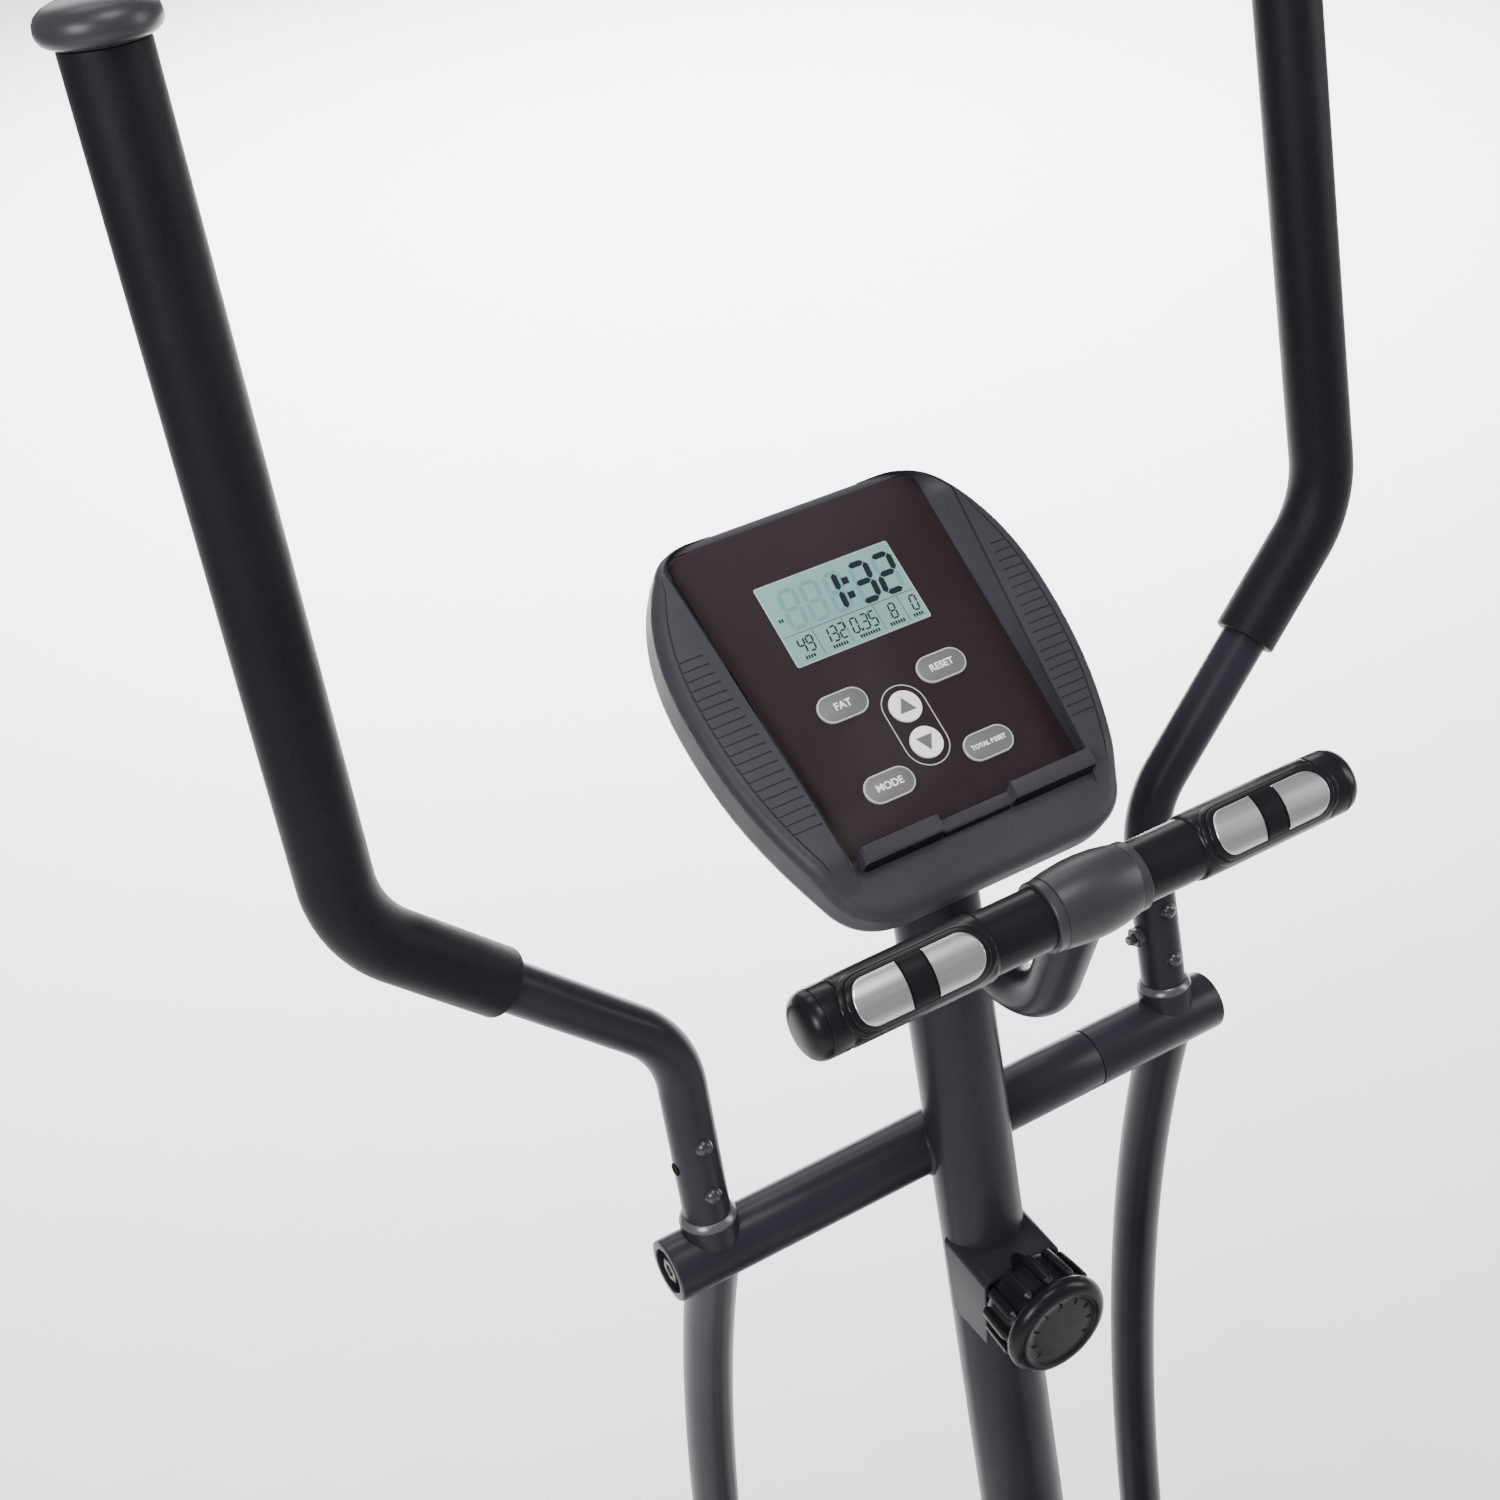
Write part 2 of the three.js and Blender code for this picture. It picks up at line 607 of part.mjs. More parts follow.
function swingArm(sign) {
  const end = at(sign * SWING_X, ARM_END_Y, ARM_END_Z);
  const curve = new THREE.QuadraticBezierCurve3(
    at(sign * SWING_X, 0, 0),
    at(sign * SWING_X, ARM_END_Y, -256),
    end,
  );
  const tube = sweep(curve, SWING_TUBE_R);
  const hollow = sweep(curve, SWING_TUBE_R - 3, { count: 8 }).translate([0, 0, 1.7]);
  const sleeveFrom = at(sign * (SLEEVE_INNER_X + RUN), 0, 0);
  const sleeveTo = at(sign * SLEEVE_OUTER_X, 0, 0);
  const sleeve = rod(SLEEVE_R, sleeveFrom, sleeveTo, 24);
  const collar = rod(15.2, at(sign * SWING_X, 0, 0), at(sign * SWING_X, 0, COLLAR_TOP), ROUND);
  const stub = rod(10.4, at(sign * SWING_X, 0, 0), at(sign * SWING_X, 0, STUB_TOP), 12);
  const lower = rod(15.5, end.clone().setX(end.x - LOWER_SLEEVE_HALF),
    end.clone().setX(end.x + LOWER_SLEEVE_HALF), ROUND);
  const bore = rod(AXLE_R + RUN, at(sign * 60, 0, 0), at(sign * (SLEEVE_OUTER_X - 2), 0, 0));
  const pinWay = rod(PIN_R + RUN, end.clone().setX(end.x - 60), end.clone().setX(end.x + 60), 12);
  return cut(join(tube, sleeve, collar, stub, lower), bore, pinWay, hollow);
}

function gripPath(sign) {
  const corners = handleStops(sign);
  const start = corners[1].clone().lerp(corners[2], GRIP_START);
  return bentPath([start, corners[2], corners[3]], HANDLE_BEND);
}

function foamGrip(sign) {
  const foam = sweep(gripPath(sign), GRIP_R, { count: 12 });
  const [foot, bend, low, top] = handleStops(sign);
  const past = top.clone().addScaledVector(top.clone().sub(low), 0.05);
  const handleWay = sweep(bentPath([foot, bend, low, past], HANDLE_BEND), HANDLE_R + GAP);
  return cut(foam, handleWay);
}

function gripCap(sign) {
  const [, , low, top] = handleStops(sign);
  const up = top.clone().sub(low).normalize();
  const profile = [[0, 0.4], [17, 0.4], [22, 3], [23, 8], [21, 12.5], [14, 15], [0, 16]];
  const dome = new THREE.LatheGeometry(profile.map(([r, z]) => new THREE.Vector2(r, z)), 24);
  const turn = new THREE.Quaternion().setFromUnitVectors(at(0, 1, 0), up);
  return solid(dome.applyQuaternion(turn).translate(top.x, top.y, top.z));
}

const swingGroup = {};
for (const side of ["left", "right"]) {
  const sign = sides[side];
  const group = new THREE.Group();
  group.position.copy(pivot);
  group.rotation.x = armLean[side];
  trainer.add(group);
  swingGroup[side] = group;
  const bar = sweep(bentPath(handleStops(sign), HANDLE_BEND), HANDLE_R,
    { bore: HANDLE_R - HANDLE_WALL + 0.4 });
  piece(`swing_arm_${side}`, swingArm(sign), blackPaint, group);
  piece(`handlebar_${side}`, bar, blackPaint, group);
  piece(`foam_grip_${side}`, foamGrip(sign), blackFoam, group);
  piece(`grip_cap_${side}`, gripCap(sign), blackPlastic, group);
}

// ---------------------------------------------------------------- pedal links
const LINK_R = 16;
const FORK_GAP = LOWER_SLEEVE_HALF + RUN;
const FORK_PLATE = 4;
const REAR_SLEEVE = [134, 172];
const FOOT_X = [98, 232];
const FOOT_SPAN = [118, 440]; // footplate, measured from the crank pin along the link
const FOOT_FLOOR = 24; // underside of the footplate above the link's axis

function pedalFrame(side) {
  const pin = crankPin(side);
  const front = armPin(side);
  const group = new THREE.Group();
  group.position.copy(pin);
  group.rotation.x = Math.atan2(front.z - pin.z, front.y - pin.y);
  trainer.add(group);
  return group;
}

function pedalLink(sign) {
  const x = sign * SWING_X;
  const tube = rod(LINK_R, at(x, 0, 0), at(x, PEDAL_LINK - 42, 0));
  const hollow = rod(LINK_R - 2.5, at(x, 0, 0), at(x, PEDAL_LINK - 44, 0), 12);
  const rear = rod(19, at(sign * REAR_SLEEVE[0], 0, 0), at(sign * REAR_SLEEVE[1], 0, 0));
  const rearWay = rod(9 + GAP, at(sign * 60, 0, 0), at(sign * 200, 0, 0));
  const cheeks = [-1, 1].map((hand) => {
    const middle = x + hand * (FORK_GAP + FORK_PLATE / 2);
    const plate = box(at(middle, PEDAL_LINK - 24, 0), at(FORK_PLATE, 48, 34));
    const nose = rod(17, at(middle - FORK_PLATE / 2, PEDAL_LINK, 0),
      at(middle + FORK_PLATE / 2, PEDAL_LINK, 0));
    return join(plate, nose);
  });
  const yoke = box(at(x, PEDAL_LINK - 42, 0), at(2 * (FORK_GAP + FORK_PLATE), 8, 34));
  const reach = FORK_GAP + FORK_PLATE + 3;
  const pin = rod(PIN_R, at(x - reach, PEDAL_LINK, 0), at(x + reach, PEDAL_LINK, 0), 12);
  const saddles = [170, 390].map((y) =>
    box(at(x, y, (LINK_R + FOOT_FLOOR) / 2 - 2), at(60, 24, FOOT_FLOOR - LINK_R + 4 - 2 * GAP)),
  );
  return join(cut(join(tube, rear, ...saddles), rearWay, hollow), ...cheeks, yoke, pin);
}

function pedalPin(sign) {
  const shaft = rod(9, at(sign * (DISC_FACE_X + RUN), 0, 0), at(sign * 178, 0, 0));
  const shoulder = rod(15, at(sign * (DISC_FACE_X + RUN), 0, 0), at(sign * 92, 0, 0));
  const flange = rod(17, at(sign * 174, 0, 0), at(sign * 180, 0, 0));
  return join(shaft, shoulder, flange);
}

function footplate(sign) {
  const [a, b] = FOOT_X.map((x) => sign * x).sort((p, q) => p - q);
  const outline = (inset) => {
    const shape = new THREE.Shape();
    const corner = 26 - inset;
    const [x0, x1, y0, y1] = [a + inset, b - inset, FOOT_SPAN[0] + inset, FOOT_SPAN[1] - inset];
    shape.moveTo(x0 + corner, y0);
    shape.lineTo(x1 - corner, y0);
    shape.quadraticCurveTo(x1, y0, x1, y0 + corner);
    shape.lineTo(x1, y1 - corner);
    shape.quadraticCurveTo(x1, y1, x1 - corner, y1);
    shape.lineTo(x0 + corner, y1);
    shape.quadraticCurveTo(x0, y1, x0, y1 - corner);
    shape.lineTo(x0, y0 + corner);
    shape.quadraticCurveTo(x0, y0, x0 + corner, y0);
    return shape;
  };
  const tray = plateZ(outline(0), FOOT_FLOOR, FOOT_FLOOR + 34, 4);
  const inside = plateZ(outline(5), FOOT_FLOOR + 8, FOOT_FLOOR + 60, 4);
  return cut(tray, inside);
}
for (const side of ["left", "right"]) {
  const group = pedalFrame(side);
  const sign = sides[side];
  piece(`pedal_link_${side}`, pedalLink(sign), blackPaint, group);
  piece(`pedal_pin_${side}`, pedalPin(sign), steel, group);
  piece(`footplate_${side}`, footplate(sign), blackPlastic, group);
}

// ---------------------------------------------------------------- fixed pulse bar
const BAR = pivot.clone().add(at(0, -118.9, 240));
const BAR_R = 13.4;
const BAR_HALF = 152;
const BAR_SLEEVE_HALF = 27;
const STEM_R = 12.7;

function pulseBar() {
  const outer = rod(BAR_R, along(-BAR_HALF + 6, BAR), along(BAR_HALF - 6, BAR));
  const ends = [-1, 1].map((sign) =>
    turned([[0, 0], [16.2, 0], [16.2, 8 * sign], [12, 13 * sign], [0, 15 * sign], [0, 0]],
      along(sign * (BAR_HALF - 14), BAR), 20),
  );
  return join(outer, ...ends);
}

const stemStops = [
  pivot.clone().add(at(0, 0, 147)),
  pivot.clone().add(at(0, -86, 149)),
  BAR.clone().add(at(0, 5, -14)),
];

function barSleeve() {
  const profile = [
    [BAR_R + GAP, -BAR_SLEEVE_HALF], [17, -BAR_SLEEVE_HALF], [19.4, -8], [19.4, 8],
    [17, BAR_SLEEVE_HALF], [BAR_R + GAP, BAR_SLEEVE_HALF], [BAR_R + GAP, -BAR_SLEEVE_HALF],
  ];
  return turned(profile, BAR, 20);
}

const stemPath = bentPath(stemStops, 44);
const stemWay = sweep(stemPath, STEM_R + GAP);
const barWay = rod(BAR_R + GAP, along(-200, BAR), along(200, BAR));
const sleeveWay = rod(19.4 + GAP, along(-28, BAR), along(28, BAR), 20);
const postFill = rod(POST_R + GAP, postAt(100), postAt(POST_TOP + 40), 24);
piece("pulse_bar", pulseBar(), blackFoam);
piece("pulse_stem", cut(sweep(stemPath, STEM_R), barWay, sleeveWay, postFill), blackPaint);
piece("bar_sleeve", barSleeve(), blackPlastic);

// Pulse sensors: a plastic carrier with two chrome contact plates on the user's side.
const SENSOR_X = [58, 134];
const CARRIER_R = 16.4;
const plateBand = (a, b, start, turn, inner, outer) => {
  const shape = new THREE.Shape();
  shape.absarc(0, 0, outer, rad(start), rad(start + turn));
  shape.absarc(0, 0, inner, rad(start + turn), rad(start), true);
  return plateX(shape, a, b, 6).translate([0, BAR.y, BAR.z]);
};
const CONTACT_START = 88;
const CONTACT_TURN = 104;
const CONTACTS = { inner: [65, 90], outer: [99, 125] };
for (const side of ["left", "right"]) {
  const sign = sides[side];
  const [a, b] = SENSOR_X.map((x) => sign * x).sort((p, q) => p - q);
  const carrier = cut(
    rod(CARRIER_R, along(a, BAR), along(b, BAR), 18),
    rod(BAR_R + GAP, along(a - 1, BAR), along(b + 1, BAR)),
  );
  const places = Object.entries(CONTACTS).map(([name, span]) => [
    name, span.map((x) => sign * x).sort((p, q) => p - q),
  ]);
  const seats = places.map(([, [p, q]]) =>
    plateBand(p - GAP, q + GAP, CONTACT_START - 2, CONTACT_TURN + 4, 14.9, 20));
  piece(`pulse_carrier_${side}`, cut(carrier, ...seats), blackPlastic);
  for (const [name, [p, q]] of places) {
    const contact = plateBand(p, q, CONTACT_START, CONTACT_TURN, 15.3, 17);
    piece(`pulse_contact_${side}_${name}`, contact, steel);
  }
}

// ---------------------------------------------------------------- tension knob
const knobGroup = new THREE.Group();
knobGroup.position.copy(postAt(KNOB_DROP));
knobGroup.rotation.x = Math.PI / 2; // local +Y is up, +Z points out to the user
trainer.add(knobGroup);
const BRACKET = { half: 25, low: -29, high: 25, depth: 35, wall: 3 };

// Two cheeks beside the post under a top plate, open at the front and below.
function knobBracket() {
  const { half, low, high, depth, wall } = BRACKET;
  const shell = box(at(0, (low + high) / 2, depth / 2), at(2 * half, high - low, depth));
  const inner = 2 * (half - wall);
  const hollow = box(at(0, (low - 10 + high - wall) / 2, 15), at(inner, high - wall - low + 10, 60));
  const tube = new THREE.CylinderGeometry(POST_R + GAP, POST_R + GAP, 200, 24);
  return cut(shell, hollow, solid(tube.rotateX(-rad(POST_LEAN))));
}

function tensionKnob() {
  const back = BRACKET.depth + 1;
  const face = 71;
  const grip = KNOB_R - 2.5;
  const profile = [
    [0, back], [25, back], [grip, back + 2], [grip, face - 11], [KNOB_R - 0.5, face - 9],
    [KNOB_R - 0.5, face - 5], [KNOB_R - 4, face - 0.6], [KNOB_R - 8, face], [22, face - 1],
    [0, face - 1],
  ].map(([r, z]) => new THREE.Vector2(r, z));
  const body = solid(new THREE.LatheGeometry(profile, 24).rotateX(Math.PI / 2));
  const facing = body.boundingBox().max[2] > 0 ? body : body.rotate([180, 0, 0]);
  const RIBS = 12;
  const length = face - 9 - back;
  const ribs = Array.from({ length: RIBS }, (_, i) => {
    const angle = (i / RIBS) * 2 * Math.PI;
    const rib = new THREE.CylinderGeometry(3, 3, length, 6).rotateX(Math.PI / 2);
    return solid(rib.translate(grip * Math.cos(angle), grip * Math.sin(angle), back + 1 + length / 2));
  });
  return join(facing, ...ribs);
}
piece("knob_bracket", knobBracket(), blackPaint, knobGroup);
piece("tension_knob", tensionKnob(), blackPlastic, knobGroup);

// ---------------------------------------------------------------- console
const CONSOLE_TILT = 33.5;
const consoleGroup = new THREE.Group(); // local X is right, Y is up the face, Z is out of it
consoleGroup.position.copy(pivot).add(at(0, 42.4, 280));
consoleGroup.rotation.x = rad(CONSOLE_TILT);
trainer.add(consoleGroup);
const FACE_HALF = 106;
const FACE_TOP = 102;
const FACE_BOTTOM = -118;
const OVERLAY_HALF = 70;
const OVERLAY_SPAN = [-84, 95];
const WING_RISE = 6;
const FACE_DEPTH = 15;
const LCD = { half: 39, low: 18, high: 64.5 };
const BUTTON_TRAVEL = 1;
const buttons = {
  fat: { at: [-29.2, -9.1], pill: true },
  reset: { at: [29.2, -9.1], pill: true },
  mode: { at: [-29.2, -55.9], pill: true },
  total_reset: { at: [29.2, -55.9], pill: true },
  up: { at: [0, -22], pill: false },
  down: { at: [0, -43.2], pill: false },
};

function consoleOutline(inset = 0) {
  const h = FACE_HALF - inset;
  const top = FACE_TOP - inset;
  const low = FACE_BOTTOM + inset;
  const shape = new THREE.Shape();
  shape.moveTo(-48, low);
  shape.lineTo(48, low);
  shape.quadraticCurveTo(76 - inset, low, 84 - inset, -96);
  shape.bezierCurveTo(96 - inset, -64, h, -36, h, 14);
  shape.bezierCurveTo(h, 46, 98 - inset, 70, 84 - inset, 88 - inset / 2);
  shape.quadraticCurveTo(76 - inset, top, 56, top);
  shape.lineTo(-56, top);
  shape.quadraticCurveTo(-76 + inset, top, -84 + inset, 88 - inset / 2);
  shape.bezierCurveTo(-98 + inset, 70, -h, 46, -h, 14);
  shape.bezierCurveTo(-h, -36, -96 + inset, -64, -84 + inset, -96);
  shape.quadraticCurveTo(-76 + inset, low, -48, low);
  return shape;
}

function buttonBody(button, grow, z0, z1) {
  const outline = button.pill ? pill(14 + grow, 7.6 + grow) : circle(8.6 + grow, 16);
  return plateZ(outline, z0, z1).translate([button.at[0], button.at[1], 0]);
}

const all = Object.values(buttons);
function consoleFace() {
  const slab = plateZ(consoleOutline(), -FACE_DEPTH, WING_RISE);
  const recess = box(at(0, (OVERLAY_SPAN[0] + 140) / 2, 20 - 1.3),
    at(2 * OVERLAY_HALF + 2, 140 - OVERLAY_SPAN[0], 40));
  const chin = box(at(0, OVERLAY_SPAN[0] - 32, 20 + 1), at(400, 50, 40));
  const lcdWay = box(at(0, (LCD.low + LCD.high) / 2, 0), at(2 * LCD.half + 5, LCD.high - LCD.low + 5, 12));
  const wells = all.map((button) => buttonBody(button, 0.6, -8, 20));
  const inside = plateZ(consoleOutline(4), -FACE_DEPTH - 1, -8.5);
  const lip = box(at(0, -87, 5.5), at(136, 3, 13));
  const hook = box(at(0, -85, 11), at(136, 7, 2.4));
  return join(cut(slab, recess, chin, lcdWay, inside, ...wells), lip, hook);
}

function consoleBack() {
  const rim = plateZ(consoleOutline(1.5), -FACE_DEPTH - 14, -FACE_DEPTH - GAP);
  const hump = box(at(0, -38, -FACE_DEPTH - 19), at(110, 124, 22));
  const hollow = plateZ(consoleOutline(6), -FACE_DEPTH - 11, 10);
  return cut(join(rim, hump), hollow);
}

function faceOverlay() {
  const middle = (OVERLAY_SPAN[0] + OVERLAY_SPAN[1]) / 2;
  const sheet = box(at(0, middle, -0.5), at(2 * OVERLAY_HALF, OVERLAY_SPAN[1] - OVERLAY_SPAN[0], 1));
  const window = box(at(0, (LCD.low + LCD.high) / 2, 0), at(2 * LCD.half, LCD.high - LCD.low, 10));
  const lipWay = box(at(0, OVERLAY_SPAN[0], 0), at(140, 3, 10));
  return cut(sheet, window, lipWay, ...all.map((button) => buttonBody(button, 0.5, -5, 5)));
}

const lcdMiddle = (LCD.low + LCD.high) / 2;
piece("console_face", consoleFace(), greyPlastic, consoleGroup);
piece("console_back", consoleBack(), blackPlastic, consoleGroup);
piece("face_overlay", faceOverlay(), overlayFilm, consoleGroup);
piece("display_screen",
  box(at(0, lcdMiddle, -3.4), at(2 * LCD.half + 4, LCD.high - LCD.low + 4, 4)),
  lcdGlass, consoleGroup);
for (const [name, button] of Object.entries(buttons)) {
  const body = buttonBody(button, 0, -8 + BUTTON_TRAVEL + GAP, 0.9);
  piece(`button_${name}`, body, button.pill ? buttonGrey : buttonWhite, consoleGroup);
}

// The console's mount: a plate on the post's top under the console's hump.
function consoleMount() {
  return box(at(0, -45, -FACE_DEPTH - 32.5), at(80, 100, 4));
}
const HUMP_BACK = -FACE_DEPTH - 34.8;
function consoleNeck() {
  const inverse = consoleGroup.matrixWorld.clone().invert();
  const low = postAt(POST_TOP - 60).applyMatrix4(inverse);
  const high = postAt(POST_TOP + 60).applyMatrix4(inverse);
  const plug = rod(POST_R - POST_WALL - 0.6, low, high, 16);
  return cut(plug, box(at(0, 0, HUMP_BACK + 101), at(400, 400, 200)));
}
trainer.updateMatrixWorld(true);
piece("console_mount", join(consoleMount(), consoleNeck()), blackPaint, consoleGroup);

export default trainer;
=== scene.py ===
import json
from math import acos, atan2, cos, degrees, pi, radians, sin, sqrt, tan

import bmesh
import bpy
from mathutils import Matrix, Vector


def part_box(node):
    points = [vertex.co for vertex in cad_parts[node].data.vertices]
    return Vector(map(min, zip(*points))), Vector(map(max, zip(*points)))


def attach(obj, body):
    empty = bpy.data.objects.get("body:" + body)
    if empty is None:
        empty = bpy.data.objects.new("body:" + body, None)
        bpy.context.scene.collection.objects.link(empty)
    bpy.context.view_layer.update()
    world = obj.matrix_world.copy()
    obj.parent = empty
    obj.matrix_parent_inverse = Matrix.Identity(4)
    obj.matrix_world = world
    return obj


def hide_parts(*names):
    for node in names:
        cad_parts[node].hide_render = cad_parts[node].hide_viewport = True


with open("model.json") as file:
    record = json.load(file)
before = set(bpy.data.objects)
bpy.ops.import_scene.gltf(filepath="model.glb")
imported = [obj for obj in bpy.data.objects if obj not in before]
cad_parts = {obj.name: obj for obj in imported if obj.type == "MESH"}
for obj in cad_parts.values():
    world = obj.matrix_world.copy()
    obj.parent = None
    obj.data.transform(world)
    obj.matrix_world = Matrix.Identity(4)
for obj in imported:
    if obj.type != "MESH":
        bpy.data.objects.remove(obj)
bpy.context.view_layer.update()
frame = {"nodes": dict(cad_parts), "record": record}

# Lengths are millimetres, and MM turns them into metres. X is right, Y forward, Z up.
MM = 0.001
SIDES = {"left": -1, "right": 1}
scene = bpy.context.scene
joints = {j["name"]: j for j in frame["record"]["behaviour"]["joints"]}


def joint_at(name):
    """Where a joint's axis lies."""
    return Vector(joints[name]["pos_m"]) / MM


def frame_of(x, y, z, origin):
    """The matrix with these axes and this origin."""
    return Matrix([[x[i], y[i], z[i], origin[i]] for i in range(3)] + [[0, 0, 0, 1]])


# ---- camera
# The middle of the crossbar, which both swing arms turn on.
PIVOT = Vector((0, joint_at("swing_left").y, joint_at("swing_left").z))


def make_camera():
    """The user's side of the machine, seen from above and a little to the left."""
    data = bpy.data.cameras.new("camera")
    data.sensor_width = 36
    data.lens = 51.03
    camera = bpy.data.objects.new("camera", data)
    scene.collection.objects.link(camera)
    right = Vector((0.85804, -0.50578, -0.08918))
    up = Vector((0.3512, 0.45113, 0.82045))
    back = Vector((-0.37473, -0.7353, 0.56472))
    place = (PIVOT + Vector((-465.3, -716.9, 848.6))) * MM
    camera.matrix_world = frame_of(right, up, back, place)
    scene.camera = camera


make_camera()


# ---- materials
# Scale and detail of the noise behind a surface's tone and its gloss.
TONE_NOISE, GLOSS_NOISE = (14, 4), (60, 6)
GRAIN_DETAIL = 3
GRAIN_DEPTH = 0.0006


def material(name, color, rough, grain, relief, metal=0, rough_range=0.08, tint=0.12,
             stretch=None, shine=0.5):
    """A surface with fine bump, uneven gloss and a slight change of tone.

    grain and relief are the bump's scale and strength, tint is the share by which the tone
    changes, and stretch is the noise's scale along each axis.
    """
    made = bpy.data.materials.new(name)
    made.use_nodes = True
    nodes, links = made.node_tree.nodes, made.node_tree.links
    shader = nodes["Principled BSDF"]
    shader.inputs["Metallic"].default_value = metal
    shader.inputs["Specular IOR Level"].default_value = shine
    where = nodes.new("ShaderNodeTexCoord")
    source = where.outputs["Object"]
    if stretch:
        mapping = nodes.new("ShaderNodeMapping")
        mapping.inputs["Scale"].default_value = stretch
        links.new(source, mapping.inputs["Vector"])
        source = mapping.outputs["Vector"]

    def noise(scale, detail):
        node = nodes.new("ShaderNodeTexNoise")
        node.inputs["Scale"].default_value = scale
        node.inputs["Detail"].default_value = detail
        links.new(source, node.inputs["Vector"])
        return node.outputs["Fac"]

    spread = nodes.new("ShaderNodeMapRange")
    spread.inputs["To Min"].default_value = rough - rough_range
    spread.inputs["To Max"].default_value = rough + rough_range
    links.new(noise(*GLOSS_NOISE), spread.inputs["Value"])
    links.new(spread.outputs["Result"], shader.inputs["Roughness"])
    ramp = nodes.new("ShaderNodeValToRGB")
    for stop, position, tone in zip(ramp.color_ramp.elements, (0.3, 0.7), (1 - tint, 1 + tint)):
        stop.position = position
        stop.color = [min(1, c * tone) for c in color] + [1]
    links.new(noise(*TONE_NOISE), ramp.inputs["Fac"])
    links.new(ramp.outputs["Color"], shader.inputs["Base Color"])
    bump = nodes.new("ShaderNodeBump")
    bump.inputs["Strength"].default_value = relief
    bump.inputs["Distance"].default_value = GRAIN_DEPTH
    links.new(noise(grain, GRAIN_DETAIL), bump.inputs["Height"])
    links.new(bump.outputs["Normal"], shader.inputs["Normal"])
    return made


PAINT = material("powder_coat", (0.0185, 0.0177, 0.0245), 0.32, 1500, 0.06,
                 shine=0.14, rough_range=0.05)
FOAM = material("foam", (0.0076, 0.0073, 0.0104), 0.44, 2200, 0.3, shine=0.12)
CAP = material("cap_plastic", (0.027, 0.0265, 0.031), 0.38, 1600, 0.04,
               shine=0.36, rough_range=0.03)
BLACK = material("black_plastic", (0.0085, 0.0083, 0.0106), 0.28, 1700, 0.03,
                 shine=0.16, rough_range=0.04)
SHELL = material("console_plastic", (0.0335, 0.0325, 0.0395), 0.42, 1900, 0.18,
                 shine=0.16)
SHELL_DARK = material("console_back_plastic", (0.0115, 0.0113, 0.014), 0.42,
                      1900, 0.18, shine=0.14)
# Near-black, for dark plastic parts and printed ticks, and also for painted shade: the strips on
# the ledge's wall, the strip over the left panel slope and the inside of the handlebar's hole.
NEAR_BLACK_AND_SHADE = material("near_black_plastic_and_painted_shade", (0.0022, 0.0022, 0.0026), 0.75, 1900, 0.3,
                   shine=0.15)
FILM = material("overlay_film", (0.0215, 0.0145, 0.016), 0.45, 2600, 0.05,
                tint=0.05, shine=0.07)
KEY = material("key_grey", (0.105, 0.105, 0.112), 0.42, 1800, 0.06, tint=0.05)
KEY_EDGE = material("key_edge", (0.42, 0.42, 0.43), 0.45, 1800, 0.05, tint=0.04)
WHITE = material("key_white", (0.9, 0.9, 0.9), 0.45, 1800, 0.05, tint=0.03)
LCD = material("lcd", (0.185, 0.33, 0.312), 0.32, 300, 0.01, tint=0.1, shine=0.12)
LCD_GHOST = material("lcd_ghost", (0.135, 0.27, 0.27), 0.32, 300, 0.01, tint=0.05,
                     shine=0.12)
LCD_EDGE = material("lcd_edge", (0.3, 0.4, 0.4), 0.4, 900, 0.05, shine=0.3)
INK = material("lcd_ink", (0.01, 0.017, 0.02), 0.45, 900, 0.02, shine=0.1)
STEEL = material("contact_steel", (0.6, 0.6, 0.615), 0.3, 700, 0.06, metal=1,
                 tint=0.05, stretch=(0.15, 6, 6))
ZINC = material("fastener_steel", (0.05, 0.05, 0.056), 0.28, 900, 0.08, metal=0.5)
RIM = material("socket_edge", (0.1, 0.1, 0.11), 0.26, 900, 0.06, metal=0.4)
RUBBER = material("rubber", (0.008, 0.008, 0.009), 0.8, 1200, 0.4, shine=0.3)
IRON = material("cast_iron", (0.1, 0.1, 0.11), 0.55, 500, 0.5, metal=0.8)
BARE = material("bright_steel", (0.45, 0.45, 0.46), 0.32, 800, 0.08, metal=1)
FLOOR = material("floor", (0.9, 0.9, 0.9), 0.85, 40, 0.02, tint=0.01)

# ---- mesh helpers
WELD_DISTANCE = 2e-6


def placed(origin, x=(1, 0, 0), y=(0, 1, 0), z=(0, 0, 1)):
    """Turns a piece's own millimetres into the frame's metres."""
    return frame_of(*(Vector(v) * MM for v in (x, y, z, origin)))


def turned_about_x(origin, angle):
    """A frame at origin whose Y is lifted by an angle."""
    return placed(origin, (1, 0, 0), (0, cos(angle), sin(angle)), (0, -sin(angle), cos(angle)))


def outward(sign):
    """Lays a piece's own X and Y along Y and Z, and its Z out to one side."""
    return frame_of((0, 1, 0), (0, 0, 1), (sign, 0, 0), (0, 0, 0))


def facing(at, out):
    """Stands a piece's own Z along out."""
    out = Vector(out).normalized()
    x = out.orthogonal().normalized()
    return frame_of(x, out.cross(x), out, at)


def piece(name, verts, faces, where, finish, body="frame", stands_for=(), sharp=32):
    """A mesh that rides a body, smooth but for edges past sharp degrees."""
    mesh = bpy.data.meshes.new(name)
    mesh.from_pydata([where @ Vector(v) for v in verts], [], faces)
    work = bmesh.new()
    work.from_mesh(mesh)
    bmesh.ops.remove_doubles(work, verts=work.verts, dist=WELD_DISTANCE)
    bmesh.ops.recalc_face_normals(work, faces=work.faces)
    work.to_mesh(mesh)
    work.free()
    mesh.materials.append(finish)
    made = bpy.data.objects.new(name, mesh)
    scene.collection.objects.link(made)
    mesh.shade_smooth()
    mesh.set_sharp_from_angle(angle=radians(sharp))
    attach(made, body)
    if stands_for:
        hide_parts(*stands_for)
    return made


